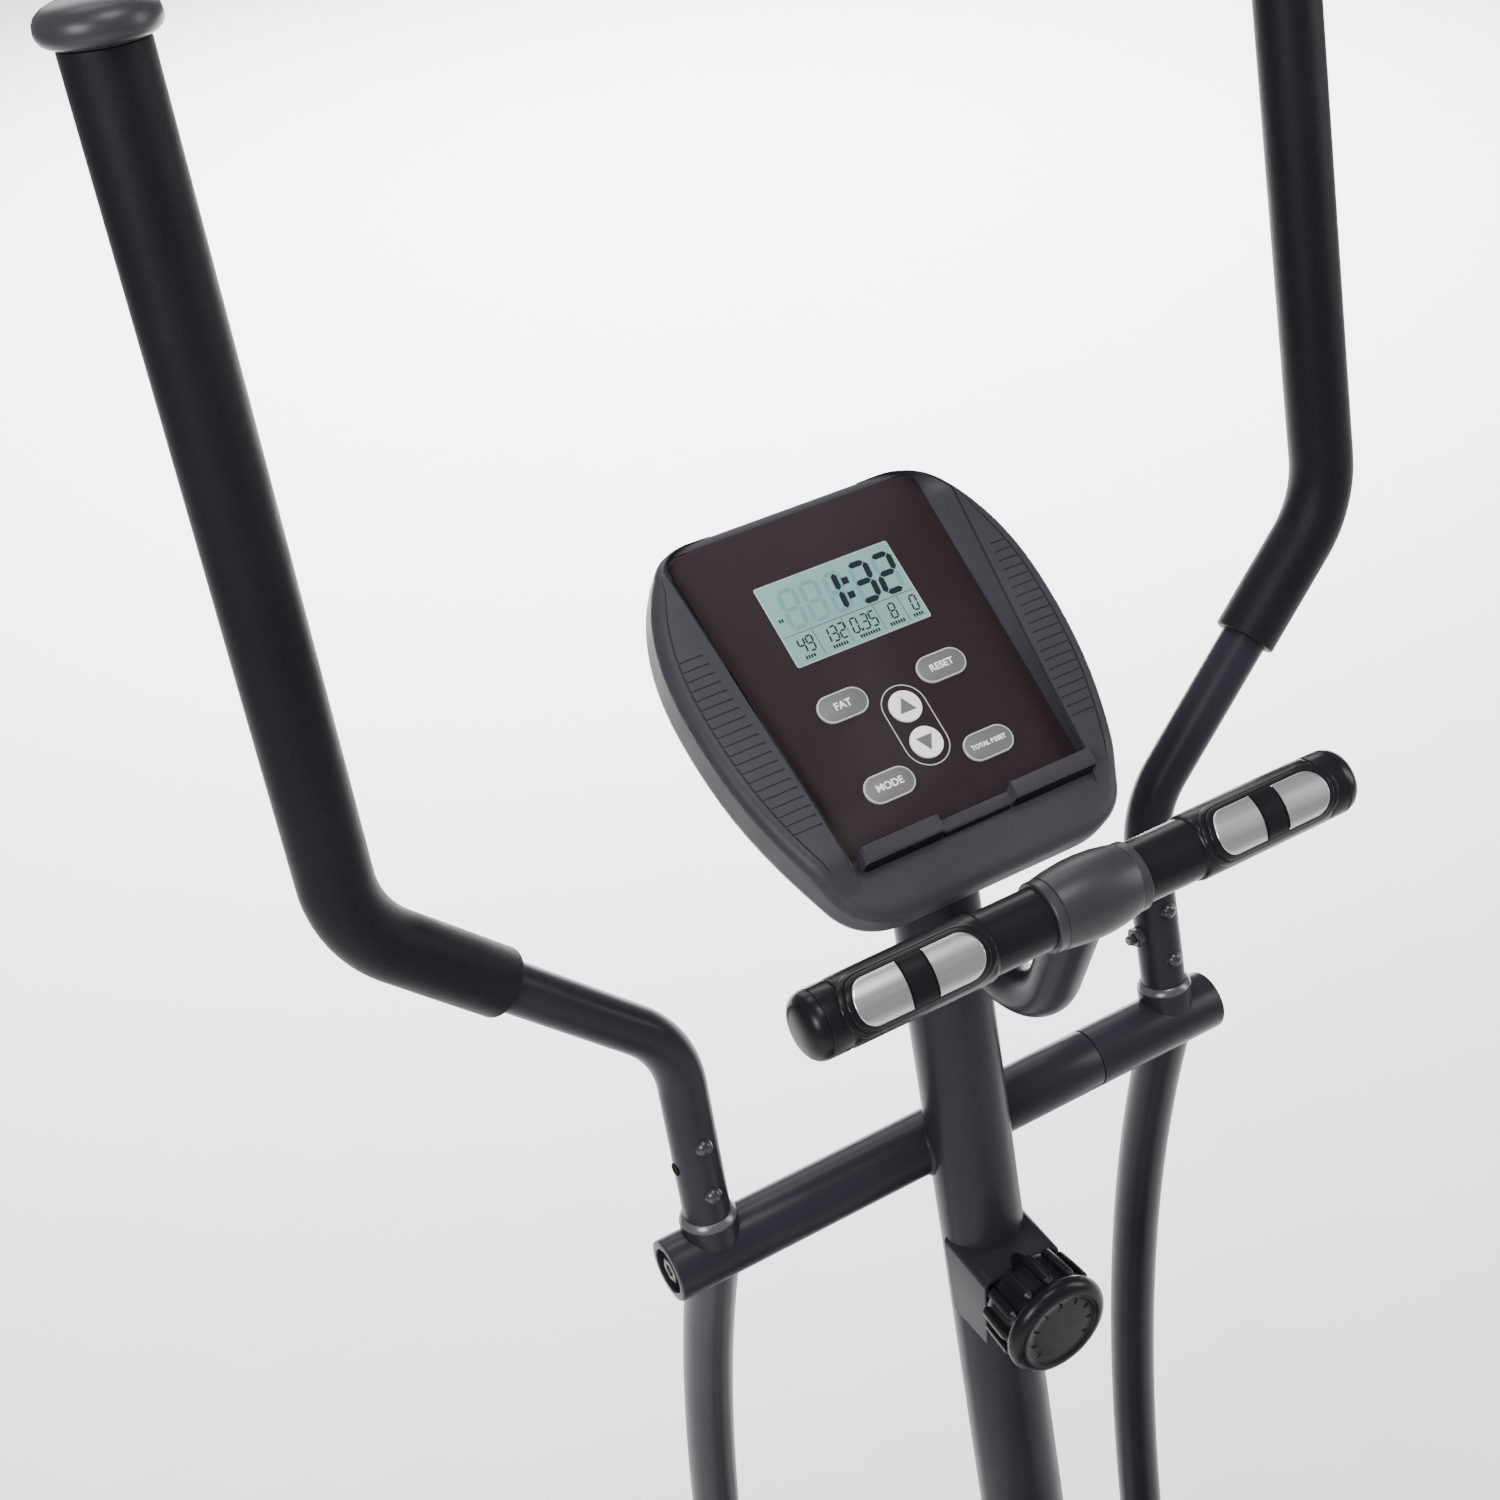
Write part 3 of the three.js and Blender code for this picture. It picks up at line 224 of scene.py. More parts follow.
def loft_parts(rings, caps=True, loop=False):
    """The corners and faces of a skin over rings of equal length."""
    count = len(rings[0])
    faces = []
    for k in range(len(rings) if loop else len(rings) - 1):
        a, b = k * count, ((k + 1) % len(rings)) * count
        for i in range(count):
            j = (i + 1) % count
            faces.append((a + i, a + j, b + j, b + i))
    if caps and not loop:
        faces.append(tuple(range(count)))
        faces.append(tuple(range((len(rings) - 1) * count, len(rings) * count)))
    return [v for ring in rings for v in ring], faces


def loft(name, rings, *rest, caps=True, loop=False, **more):
    verts, faces = loft_parts(rings, caps, loop)
    return piece(name, verts, faces, *rest, **more)


def circle(radius, count):
    return [(radius * cos(2 * pi * i / count), radius * sin(2 * pi * i / count))
            for i in range(count)]


def arc(x, y, radius, start, end, count):
    """Points along an arc between two angles in degrees."""
    turns = (radians(start + (end - start) * k / count) for k in range(count + 1))
    return [(x + radius * cos(a), y + radius * sin(a)) for a in turns]


def lathe_rings(profile, count=64, wave=None):
    """Rings about Z from (radius, z) points. wave(angle) scales the radius."""
    rings = []
    for radius, z in profile:
        ring = []
        for i in range(count):
            angle = 2 * pi * i / count
            r = max(radius, 1e-4) * (wave(angle) if wave else 1)
            ring.append((r * cos(angle), r * sin(angle), z))
        rings.append(ring)
    return rings


def lathe(name, profile, *rest, count=64, wave=None, loop=False, **more):
    return loft(name, lathe_rings(profile, count, wave), *rest, loop=loop, **more)


def fillet(stops, radius, steps=14):
    """A path of straight runs with a round bend at each inner stop."""
    stops = [Vector(s) for s in stops]
    path = [stops[0]]
    for before, corner, after in zip(stops, stops[1:], stops[2:]):
        into, out = (corner - before).normalized(), (after - corner).normalized()
        turn = into.angle(out)
        side = (out - into * into.dot(out)).normalized()
        center = corner - into * radius * tan(turn / 2) + side * radius
        for k in range(steps + 1):
            a = turn * k / steps
            path.append(center - side * radius * cos(a) + into * radius * sin(a))
    return path + [stops[-1]]


def round_ends(path, radius, edge):
    """A path with more points at its ends, and its radii, so that both ends are rounded over."""
    steps, shares = (0.12, 0.45, 1), (1, 0.55, 0.16)
    into = (path[1] - path[0]).normalized() * edge
    back = (path[-2] - path[-1]).normalized() * edge
    path = ([path[0]] + [path[0] + into * t for t in steps] + path[1:-1]
            + [path[-1] + back * t for t in reversed(steps)] + [path[-1]])
    radii = [radius] * len(path)
    for k, share in enumerate(shares):
        radii[k] = radii[-1 - k] = radius - edge * share
    return path, radii


def tube_rings(path, radii, count):
    """Circles square to a path, turned as little as possible from one to the next."""
    if not isinstance(radii, list):
        radii = [radii] * len(path)
    tangents = []
    for i in range(len(path)):
        low, high = path[max(i - 1, 0)], path[min(i + 1, len(path) - 1)]
        tangents.append((high - low).normalized())
    normal = tangents[0].orthogonal().normalized()
    rings = []
    for i, (point, tangent) in enumerate(zip(path, tangents)):
        if i:
            normal = (tangents[i - 1].rotation_difference(tangent)) @ normal
            normal = (normal - tangent * normal.dot(tangent)).normalized()
        side = tangent.cross(normal)
        rings.append([tuple(point + (normal * x + side * y)) for x, y in circle(radii[i], count)])
    return rings


def tube(name, path, radii, *rest, count=40, **more):
    return loft(name, tube_rings(path, radii, count), *rest, **more)


def rod(name, start, end, radius, *rest, **more):
    path, radii = round_ends([Vector(start), Vector(end)], radius, 0.8)
    return tube(name, path, radii, *rest, **more)


def soft_slab(name, outline, z0, z1, edge, *rest, **more):
    """A flat outline made thick in Z with rounded edges. outline(inset) gives its corners."""
    quarter = (pi / 2, pi / 3, pi / 6, 0)
    stops = [(turn, z0, 1) for turn in quarter] + [(turn, z1, -1) for turn in reversed(quarter)]
    rings = [[(x, y, z + way * edge * (1 - sin(turn))) for x, y in outline(edge * (1 - cos(turn)))]
             for turn, z, way in stops]
    return loft(name, rings, *rest, **more)


def pill(half, radius, count=20):
    """The outline of a pill, as a function of inset."""
    def outline(inset=0):
        right = arc(half - radius, 0, radius - inset, -90, 90, count)
        return right + [(-x, -y) for x, y in right]
    return outline


def rounded(x0, x1, y0, y1, corner, count=6):
    """The outline of a rectangle with round corners, as a function of inset."""
    def outline(inset=0):
        points = []
        for x, y, start in ((x1 - corner, y1 - corner, 0), (x0 + corner, y1 - corner, 90),
                            (x0 + corner, y0 + corner, 180), (x1 - corner, y0 + corner, 270)):
            points += arc(x, y, corner - inset, start, start + 90, count)
        return points
    return outline


# ---- upright, crossbar, stem
LEAN = radians(8.43)
UP = Vector((0, sin(LEAN), cos(LEAN)))
# The post's axis passes this far behind the crossbar's.
POST_BACK = 18
POST_CENTER = PIVOT + Vector((0, -POST_BACK, -3))
POST_RADIUS, CROSSBAR_RADIUS, HANDLE_RADIUS = 23.4, 17.2, 12.7
ROW = placed((0, 0, 0))


def post_at(distance):
    return POST_CENTER + UP * distance


# Distances along a tube, each with the radius there.
post = [(-814, POST_RADIUS), (-812, 24.6), (-420, 24.6), (-240, 24.6), (-60, 23.5),
        (100, POST_RADIUS), (176, POST_RADIUS), (177.6, 22.9), (178, 22.2)]
tube("post_tube", [post_at(d) for d, _ in post], [r for _, r in post], ROW, PAINT,
     stands_for=["upright_post"], count=64)
crossbar = [(-93.97, CROSSBAR_RADIUS), (-60, CROSSBAR_RADIUS), (60, CROSSBAR_RADIUS),
            (92.9, CROSSBAR_RADIUS), (93.3, 17), (93.4, 16.7)]
tube("crossbar_tube", [PIVOT + Vector((x, 0, 0)) for x, _ in crossbar], [r for _, r in crossbar],
     ROW, PAINT, stands_for=["pivot_crossbar"], count=56)


def weld_rings(sign):
    """A rippled bead round the crossbar, where it meets the post's round side."""
    rings = []
    for k, (grow, run) in enumerate(((1.5, 0), (1.3, 0.6), (0.7, 1.1), (0.2, 1.9), (-0.4, 2.6))):
        ring = []
        for i in range(96):
            a = 2 * pi * i / 96
            r = CROSSBAR_RADIUS + grow + (0.12 * sin(a * 30 + k) if k < 3 else 0)
            reach = min(POST_RADIUS - 0.1, abs(r * cos(a) + POST_BACK))
            side = sqrt(max(0, POST_RADIUS ** 2 - reach ** 2))
            ring.append((sign * (side + run), r * cos(a), r * sin(a)))
        rings.append(ring)
    return rings


for side, sign in SIDES.items():
    loft(f"weld_{side}", weld_rings(sign), placed(PIVOT), PAINT, caps=False)

BAR = PIVOT + Vector((0, -118.9, 240))
stem = fillet([PIVOT + Vector((0, 0, 147)), PIVOT + Vector((0, -86, 149)),
               BAR + Vector((0, 2, -5))], 44)
tube("pulse_stem_tube", stem, HANDLE_RADIUS, ROW, PAINT, stands_for=["pulse_stem"], count=44)
lathe("stem_weld", [(12.2, -3), (15.4, -1.2), (15.8, 1.4), (14.2, 3.2), (12.5, 4.6)],
      placed(PIVOT + Vector((0, -19.6, 147.4)), (1, 0, 0), (0, 0, 1), (0, -1, 0)), PAINT,
      wave=lambda a: 1 + 0.012 * sin(18 * a), caps=False)


# ---- pulse bar
BAR_FRAME = {side: placed(BAR) @ outward(sign) for side, sign in SIDES.items()}
bar_profile = [(15.1, 0), (15.1, 133.6), (16, 134), (16.2, 134.6), (16.2, 143.2), (15.8, 143.6),
               (15.8, 144), (16.2, 144.4), (16, 146), (15.2, 148.2), (13.6, 150.2),
               (11, 151.7), (7, 152.7), (3.5, 153), (0, 153.1)]
for side, where in BAR_FRAME.items():
    lathe(f"pulse_bar_{side}", bar_profile, where, BLACK, stands_for=["pulse_bar"])
lathe("pulse_sleeve", [(14.8, -26), (16.6, -26), (17.2, -25.4), (17.2, -21.4), (16.8, -21),
                       (17.5, -20.6), (18.6, -14), (19.5, -5), (19.6, 3), (19, 11), (17.9, 17.4),
                       (17.2, 20.6), (16.6, 21), (16.9, 21.4), (16.9, 25.4), (16.4, 26),
                       (14.8, 26)],
      BAR_FRAME["right"], CAP, stands_for=["bar_sleeve"])

# The middle of each contact, from +Y towards +Z, and the radius that its curve is measured on.
USER_SIDE = radians(139)
CARRIER_RADIUS = 16.4


def on_bar(sign, u, along, radius):
    """A point u millimetres round the bar from the contact's middle."""
    angle = USER_SIDE + u / CARRIER_RADIUS
    return (sign * along, radius * cos(angle), radius * sin(angle))


def wrapped(name, sign, outline, low, high, edge, finish, stands_for=(), across=10):
    """A patch that follows the bar round, with a soft edge and a curved top."""
    rings = [[on_bar(sign, y, x, radius) for x, y in outline(inset)] for inset, radius in (
        (0, low), (0, high - edge), (edge * 0.3, high - edge * 0.3), (edge, high))]
    verts, faces = loft_parts(rings, caps=False)
    top = outline(edge)
    half = len(top) // 2
    base = len(verts)
    for (x, y0), (_, y1) in zip(top[:half], reversed(top[half:])):
        verts += [on_bar(sign, y0 + (y1 - y0) * k / across, x, high) for k in range(across + 1)]
    for i in range(half - 1):
        for k in range(across):
            a = base + i * (across + 1) + k
            faces.append((a, a + 1, a + across + 2, a + across + 1))
    piece(name, verts, faces, placed(BAR), finish, stands_for=stands_for, sharp=45)


def band(x0, x1, half, ends=(True, True), count=14):
    """A strip's outline, each end round or square, as matched columns that can wrap round a bar."""
    def outline(inset=0):
        r = half - inset
        end = r * 0.85
        points = []
        for k in range(2 * count + 1):
            share = -cos(pi * k / (2 * count))
            x = (x0 + x1) / 2 + share * ((x1 - x0) / 2 - inset)
            to_ends = (x - (x0 + inset), (x1 - inset) - x)
            reach = min([d for d, is_round in zip(to_ends, ends) if is_round], default=end)
            y = r if reach >= end else r * sqrt(max(0, 1 - (1 - reach / end) ** 2))
            points.append((x, max(y, 0.02)))
        return points + [(x, -y) for x, y in reversed(points)]
    return outline


for side, sign in SIDES.items():
    lathe(f"pulse_carrier_{side}_shell",
          [(13.5, 58), (15.2, 58), (16, 58.8), (CARRIER_RADIUS, 60.5), (CARRIER_RADIUS, 131.5),
           (16, 133.2), (15.2, 134), (13.5, 134)],
          BAR_FRAME[side], BLACK, stands_for=[f"pulse_carrier_{side}"])
    for name, shape, low, high, edge, finish, nodes in (
            ("frame_{}_outer", band(58.5, 137.5, 17.5), 16.2, 17.1, 0.8, BLACK, ()),
            ("frame_{}_groove", band(61, 135, 15), 16.3, 17.16, 0.1, NEAR_BLACK_AND_SHADE, ()),
            ("frame_{}_inner", band(61.8, 134.2, 14.2), 16.3, 17.6, 0.7, BLACK, ()),
            ("band_{}", band(64.4, 131.6, 11.6), 16.3, 17.66, 0.1, NEAR_BLACK_AND_SHADE, ()),
            ("contact_{}_a", band(65, 91.5, 11.1, (True, False)), 16.4, 18, 0.5, STEEL,
             [f"pulse_contact_{side}_inner"]),
            ("contact_{}_b", band(104.5, 131, 11.1, (False, True)), 16.4, 18, 0.5, STEEL,
             [f"pulse_contact_{side}_outer"]),
            ("gap_{}", band(91.8, 104.2, 11.1, (False, False)), 16.4, 17.9, 0.4, BLACK, ())):
        wrapped("pulse_" + name.format(side), sign, shape, low, high, edge, finish, nodes)


# ---- swing arms
# How far out each arm stands, and where its lower end lies when its top stands upright.
SWING_X = 152.8
ARM_END = Vector((0, 112.7, -630))
ARM_BOW = -512
BEND = 62


def arm_frame(side):
    """An upright arm's own frame, turned so that its lower end meets the pedal's joint."""
    pin = joint_at(f"pedal_{side}") - joint_at(f"swing_{side}")
    return turned_about_x(PIVOT, atan2(pin.z, pin.y) - atan2(ARM_END.z, ARM_END.y))


def bolt_head(name, at, out, radius, where, body="frame"):
    """A domed bolt head."""
    dome = [(1, -1.6), (1, 0.7), (0.98, 1.1), (0.9, 2.1), (0.74, 3.1), (0.5, 3.8), (0.25, 4.15),
            (0, 4.2)]
    lathe(name, [(radius * share, z) for share, z in dome], where @ facing(at, out), ZINC, body,
          count=28)


def hexagon(name, at, out, radius, height, where, body, finish=ZINC):
    """A hexagonal nut or bolt head with a dimple."""
    rings = [[(a, b, z) for a, b in circle(radius * share, 6)] for share, z in (
        (1, 0), (1, height * 0.8), (0.9, height), (0.5, height), (0.45, height - 0.8))]
    loft(name, rings, where @ facing(at, out), finish, body, sharp=20)


def make_handlebar(side, sign, where, body):
    """The upper tube with its foam grip and its end cap."""
    stops = [Vector(p) for p in ((sign * SWING_X, 0, 24), (sign * SWING_X, 0, 136),
                                 (sign * 294.7, -6, 274.4), (sign * 293.5, -11, 655))]
    tube(f"handlebar_{side}_tube", fillet(stops, BEND), HANDLE_RADIUS, where, PAINT, body,
         stands_for=[f"handlebar_{side}"], count=44)
    start = stops[1].lerp(stops[2], 0.56)
    path, radii = round_ends(fillet([start, stops[2], stops[3]], BEND), 17.2, 1.6)
    radii[0] = 13
    grip = tube(f"foam_grip_{side}_sleeve", path, radii, where, FOAM, body,
                stands_for=[f"foam_grip_{side}"], count=56)
    lathe(f"grip_cap_{side}_dome",
          [(0, -0.5), (16, -0.5), (17.6, 0), (19.4, 0.6), (21.6, 2), (22.8, 4.2), (23, 6.4),
           (22.6, 8.8), (21.4, 11), (19, 13), (15.4, 14.5), (10.5, 15.5), (5, 15.9), (0, 16)],
          where @ facing(stops[3], stops[3] - stops[2]), CAP, body,
          stands_for=[f"grip_cap_{side}"], count=72)


def make_arm(side, sign, where, body):
    """The lower tube, bowed forward, and the sleeve that it turns on."""
    x = sign * SWING_X
    curve = []
    for k in range(33):
        t = k / 32
        curve.append(Vector((x, ARM_END.y * (2 * (1 - t) * t + t * t),
                             ARM_BOW * (1 - t) * t + ARM_END.z * t * t)))
    tube(f"swing_tube_{side}", curve, 14.3, where, PAINT, body,
         stands_for=[f"swing_arm_{side}"], count=44)
    across = where @ outward(sign)
    mouth = CROSSBAR_RADIUS if side == "left" else 16.9
    lathe(f"swing_sleeve_{side}",
          [(13, 94), (mouth, 94), (17.2, 94.3), (17.2, 179.6), (16.8, 180.6), (15.8, 181),
           (13, 181), (12.4, 180.4), (12.2, 176.6), (0, 176.6)], across, PAINT, body, count=56)
    hexagon(f"sleeve_bolt_{side}", (sign * 176.4, 0, 0), (sign, 0, 0), 7.6, 3.6, where, body, BLACK)
    lathe(f"sleeve_washer_{side}",
          [(0, 176.3), (11.6, 176.3), (12, 176.7), (12, 177.3), (11.5, 177.6), (0, 177.6)],
          across, NEAR_BLACK_AND_SHADE, body, count=40)


def make_socket(side, sign, where, body):
    """The collar that the handlebar stands in, and the bolts through it."""
    x = sign * SWING_X
    upright = where @ Matrix.Translation((x, 0, 0))
    lathe(f"socket_{side}",
          [(12.8, 10), (15.4, 10), (15.6, 12), (15.6, 22.6), (15.2, 23), (12.8, 23)],
          upright, PAINT, body, count=56)
    lathe(f"socket_edge_{side}",
          [(12.6, 22.6), (15.3, 22.8), (15.5, 23.3), (15.2, 24.4), (13.6, 26.6), (13.1, 27),
           (12.6, 27)], upright, RIM, body, count=56)
    for k, z in enumerate((45, 77)):
        bolt_head(f"handle_bolt_{side}_{k}", (x, -12, z), (0, -1, 0), 4.7, where, body)
    cross_bolt = where @ facing((x - (12.4 if side == "left" else 12.2), 0, 61), (-1, 0, 0))
    if side == "left":
        # A near-black rimmed disc stands for the hole through the collar: its dark inside is
        # painted shade.
        lathe("handle_side_hole_left",
              [(0, 0), (3.4, 0), (3.6, 0.4), (3.4, 0.8), (2.6, 0.8), (2.2, 0.3), (0, 0.3)],
              cross_bolt, NEAR_BLACK_AND_SHADE, body, count=24)
    else:
        hexagon("handle_nut_right", (x - 12.2, 0, 61), (-1, 0, 0), 6, 5, where, body)
        lathe("handle_stud_right", [(2.9, 4), (2.9, 8.2), (2.4, 8.8), (0, 8.8)], cross_bolt, ZINC,
              body, count=20)


def make_foot(side, sign, where, body):
    """The sleeve that the pedal link's fork turns on."""
    middle = Matrix.Translation((sign * SWING_X, ARM_END.y, ARM_END.z))
    lathe(f"arm_end_sleeve_{side}",
          [(7, -22), (14.8, -22), (15.5, -21.3), (15.5, 21.3), (14.8, 22), (7, 22)],
          where @ middle @ outward(1), PAINT, body, count=44, caps=False)


for side, sign in SIDES.items():
    for make in (make_handlebar, make_arm, make_socket, make_foot):
        make(side, sign, arm_frame(side), f"swing_{side}")


# ---- tension knob
KNOB = placed(joint_at("knob_turn"), (1, 0, 0), (0, 0, 1), (0, -1, 0))


def bracket_rings():
    """Sections of the wall, up one cheek, over the top and down the other."""
    half, low, high, depth, wall = 25, -29.5, 22.5, 35, 2.8
    shoulder, droop = -8, 3

    def arch(inset, z):
        """The outline across, at depth z."""
        h, top, c = half - inset, high - inset, 5 - inset
        drop = droop * z / depth
        points = [(-h, low), (-h, shoulder)]
        for x, start in ((-h + c, 180), (h - c, 90)):
            points += arc(x, top - c - drop, c, start, start - 90, 6)
        return points + [(h, shoulder), (h, low)]

    def back(x, y):
        """Where the post's surface is."""
        radius = POST_RADIUS - 0.2
        return sqrt(radius ** 2 - min(abs(x), radius) ** 2) / UP.z - y * UP.y / UP.z

    rings = []
    for share, inset in ((0, 0), (0.5, 0), (0.985, 0), (1, 0.5), (1, wall - 0.5),
                         (0.985, wall), (0.5, wall), (0, wall)):
        ring = []
        for x, y in arch(inset, share * depth):
            start = back(x, y) - 1
            ring.append((x, y, start + (depth - start) * share))
        rings.append(ring)
    return list(zip(*rings))


loft("knob_cover_box", bracket_rings(), KNOB, PAINT, stands_for=["knob_bracket"])
lathe("knob_seat", [(0, 22), (20, 22), (20.5, 22.6), (20.5, 34), (20, 34.6), (0, 34.6)], KNOB,
      NEAR_BLACK_AND_SHADE, count=48)

knob_profile = [(0, 36), (24, 36), (25.4, 36.6), (26.6, 38.4), (27.2, 41)]
knob_profile += [(27.4 + 0.03 * k, 42 + 1.5 * k) for k in range(12)]
knob_profile += [(28.2, 60), (29.6, 61.2), (30.6, 62.6), (31.1, 64.2), (31, 66), (30.2, 67.9),
                 (28.8, 69.6), (27, 70.7), (25.2, 71.2), (23.6, 71.1), (22.6, 70.6), (22.2, 70),
                 (21.9, 69.8), (18, 70), (9, 70.2), (0, 70.2)]
lathe("knob_body", knob_profile, KNOB, BLACK, "knob", stands_for=["tension_knob"], count=120,
      sharp=50)


def knob_rib(angle):
    """A rounded rib down the knob's side that runs out under its rim."""
    rings = []
    for z, width, high, deep in ((37.2, 1.6, 27.6, 1), (38.6, 3, 29.8, 1), (46, 3.1, 30.4, 1),
                                 (55, 3.1, 30.9, 1), (58, 3, 31, 1), (62.4, 0.5, 28.8, 0.4)):
        ring = []
        for across, up in ((-1, -3), (-1, -0.9), (-0.55, -0.2), (0, 0), (0.55, -0.2), (1, -0.9),
                           (1, -3)):
            r, t = high + up * deep, across * width
            ring.append((r * cos(angle) - t * sin(angle), r * sin(angle) + t * cos(angle), z))
        rings.append(ring)
    return rings


KNOB_RIBS = 13
for k in range(KNOB_RIBS):
    loft(f"knob_rib_{k}", knob_rib(2 * pi * k / KNOB_RIBS + 0.12), KNOB, BLACK, "knob", sharp=28)
for k in range(9):
    # Plain ticks that grow as the knob is turned up.
    size = 0.7 + 0.16 * k
    tick = rounded(-size / 2.6, size / 2.6, -1.6, 1.6, 0.25, 2)
    local = Matrix.Rotation(radians(125 - 31.25 * k), 4, "Z") @ Matrix.Translation((0, 18.4, 0))
    soft_slab(f"knob_tick_{k}", tick, 69.8, 70.32, 0.12, KNOB @ local, NEAR_BLACK_AND_SHADE, "knob")

# ---- console
# On the console u runs right, v up its face and n out of it, from the face's middle.
CONSOLE = turned_about_x(PIVOT + Vector((0, 42.4, 280)), radians(33.5))
TOP, BOTTOM = 102, -118
FACE_HALF = 106
SHELL_DEPTH = -15


def bezier(p, t):
    """A point on the Bezier curve through any number of control points."""
    p = [Vector(q) for q in p]
    while len(p) > 1:
        p = [a.lerp(b, t) for a, b in zip(p, p[1:])]
    return p[0]


def right_edge(steps=26):
    """Corners of the console's right-hand outline, from the bottom middle to the top middle."""
    runs = [
        [(0, BOTTOM), (48, BOTTOM)],
        [(48, BOTTOM), (76, BOTTOM), (84, -96)],
        [(84, -96), (96, -64), (FACE_HALF, -36), (FACE_HALF, 14)],
        [(FACE_HALF, 14), (FACE_HALF, 46), (98, 70), (84, 88)],
        [(84, 88), (76, TOP), (56, TOP)],
        [(56, TOP), (0, TOP)],
    ]
    points = []
    for run in runs:
        points += [bezier(run, k / steps) for k in range(steps)]
    return points + [Vector((0, TOP))]


EDGE = right_edge()


def half_width(v):
    """Half the face's width at height v. The top and bottom edges are straight for 50 mm."""
    if v <= BOTTOM or v >= TOP:
        return 50
    for a, b in zip(EDGE, EDGE[1:]):
        if a.y <= v <= b.y and b.y > a.y:
            return a.x + (b.x - a.x) * (v - a.y) / (b.y - a.y)
    return 50


def groove_at(v, side):
    """The wing's inner edge, which lies closer to the panel on the left."""
    spread = 17.5 if side > 0 else 9
    return 70.4 + spread * max(0, min(1, (v + 84) / 175)) ** 1.15


def film_half(v):
    """Half the panel's width, a little wider at the top."""
    return 69.6 + 4.4 * max(0, min(1, (v + 84) / 179))


def smooth(t):
    """Eases from 0 to 1."""
    t = max(0, min(1, t))
    return t * t * (3 - 2 * t)


# Heights of the grip lines on the wings, the panel's ends, and the radius of the face's edge.
RIBS = [39.5 - 5.35 * k for k in range(20)]
PANEL = (-84, 97)
ROLL = 6
OUTLINE = EDGE[::3]


def edge_distance(u, v):
    """How far a point on the face lies inside the outline."""
    best = 1e9
    p = Vector((abs(u), v))
    for a, b in zip(OUTLINE, OUTLINE[1:]):
        along = b - a
        t = max(0, min(1, (p - a).dot(along) / along.length_squared))
        best = min(best, (p - a - along * t).length_squared)
    return sqrt(best)


def face_rows():
    """Heights of the face's rows, which lie closest where it bends most."""
    rows = {BOTTOM + d for d in (0, 0.25, 0.8, 1.6, 2.8, 4.2, 6, 9, 12, 16, 19, 22, 25, 28, 31, 38,
                                 42, 48)}
    rows |= {TOP - d for d in (0, 0.25, 0.7, 1.4, 4, 5.5, 8, 11, 14, 17, 21, 25, 30, 35, 40, 45, 50,
                               56)}
    rows |= {PANEL[0] - 0.05, PANEL[0] + 0.05, PANEL[1] - 0.02, PANEL[1] + 0.02}
    for rib in RIBS:
        rows |= {rib + d for d in (-0.5, -0.34, 0.34, 0.5, 2.6)}
    return sorted(rows)


def wing_height(v):
    """How far the wings stand above the panel."""
    return 7 * smooth((v + 104) / 26) * smooth((TOP + 7 - v) / 26)


def face_section(v, side):
    """Points across the console's face at height v: (u, n) from the middle to the outer edge."""
    w = half_width(v)
    g = min(groove_at(v, side), w - 5)
    f = min(film_half(v) - 0.2, g - 0.6)
    inside = PANEL[0] < v < PANEL[1]
    rise = wing_height(v)
    flat = -1.2 if inside else 0.9 - smooth((v - 60) / 30)
    depth = 0.9 * smooth((v + 90) / 14)
    rib = any(abs(v - r) < 0.36 for r in RIBS)
    slope = rise * 0.96
    shelf = max(slope, flat)
    points = [(f * share, flat) for share in (0, 0.3, 0.6, 0.85, 0.97, 1)]
    points.append((f + 0.2, flat + (0.5 if inside else 0)))
    points += [(f + 0.3 + (g - 1.1 - f) * share, flat + (slope - flat) * share)
               for share in (0.35, 0.7)]
    points += [(g - 0.8, shelf), (g - 0.45, shelf - depth), (g, shelf - depth),
               (g + 0.5, max(rise, flat))]
    span = w - g
    # The ribs lie between low and high, shares of the wing's width. A groove follows at high.
    low = max(0.12, 0.3 - 0.002 * (40 - v))
    high = max(0.45, min(0.8, 1 - 7.5 / span))
    rim = 0.8 * smooth((v + 92) / 14) * smooth((86 - v) / 8)
    shares = [low + d for d in (-0.06, -0.05, -0.02, 0, 0.01)]
    shares += [low + d * (high - low) for d in (0.4, 0.7)]
    shares += [high + d for d in (-0.01, 0, 0.022, 0.03)]
    shares += [high + d * (1 - high) for d in (0.3, 0.5, 0.7, 0.83, 0.92, 0.97, 1)]
    for share in shares:
        crown = max(rise, flat) * (1 - 0.16 * share ** 2)
        if high - 0.005 < share < high + 0.025:
            crown -= rim
        elif rib and (low < share < high or low - 0.055 < share < low - 0.01):
            crown -= 0.7
        points.append((g + span * share, crown))
    rolled = []
    for u, n in points:
        d = edge_distance(u, v)
        drop = ROLL - sqrt(max(0, ROLL ** 2 - (ROLL - d) ** 2)) if d < ROLL else 0
        rolled.append((u, n - drop * (1 if v < 70 else 0.55 + 0.45 * smooth((abs(u) - 60) / 30))))
    return rolled + [(w, rolled[-1][1] - 1.5), (w, SHELL_DEPTH)]


def console_face():
    """The front shell: rows of points over the face, closed down to its back edge all round."""
    lines = []
    for v in face_rows():
        left = [(-u, v, n) for u, n in reversed(face_section(v, -1))]
        right = [(u, v, n) for u, n in face_section(v, 1)[1:]]
        lines.append(left + right)
    lines.insert(0, [(x, y, SHELL_DEPTH) for x, y, _ in lines[0]])
    lines.append([(x, y, SHELL_DEPTH) for x, y, _ in lines[-1]])
    width = len(lines[0])
    faces = [(a, a + 1, a + width + 1, a + width)
             for a in (r * width + c for r in range(len(lines) - 1) for c in range(width - 1))]
    return [p for line in lines for p in line], faces


piece("console_front_shell", *console_face(), CONSOLE, SHELL, stands_for=["console_face"], sharp=30)


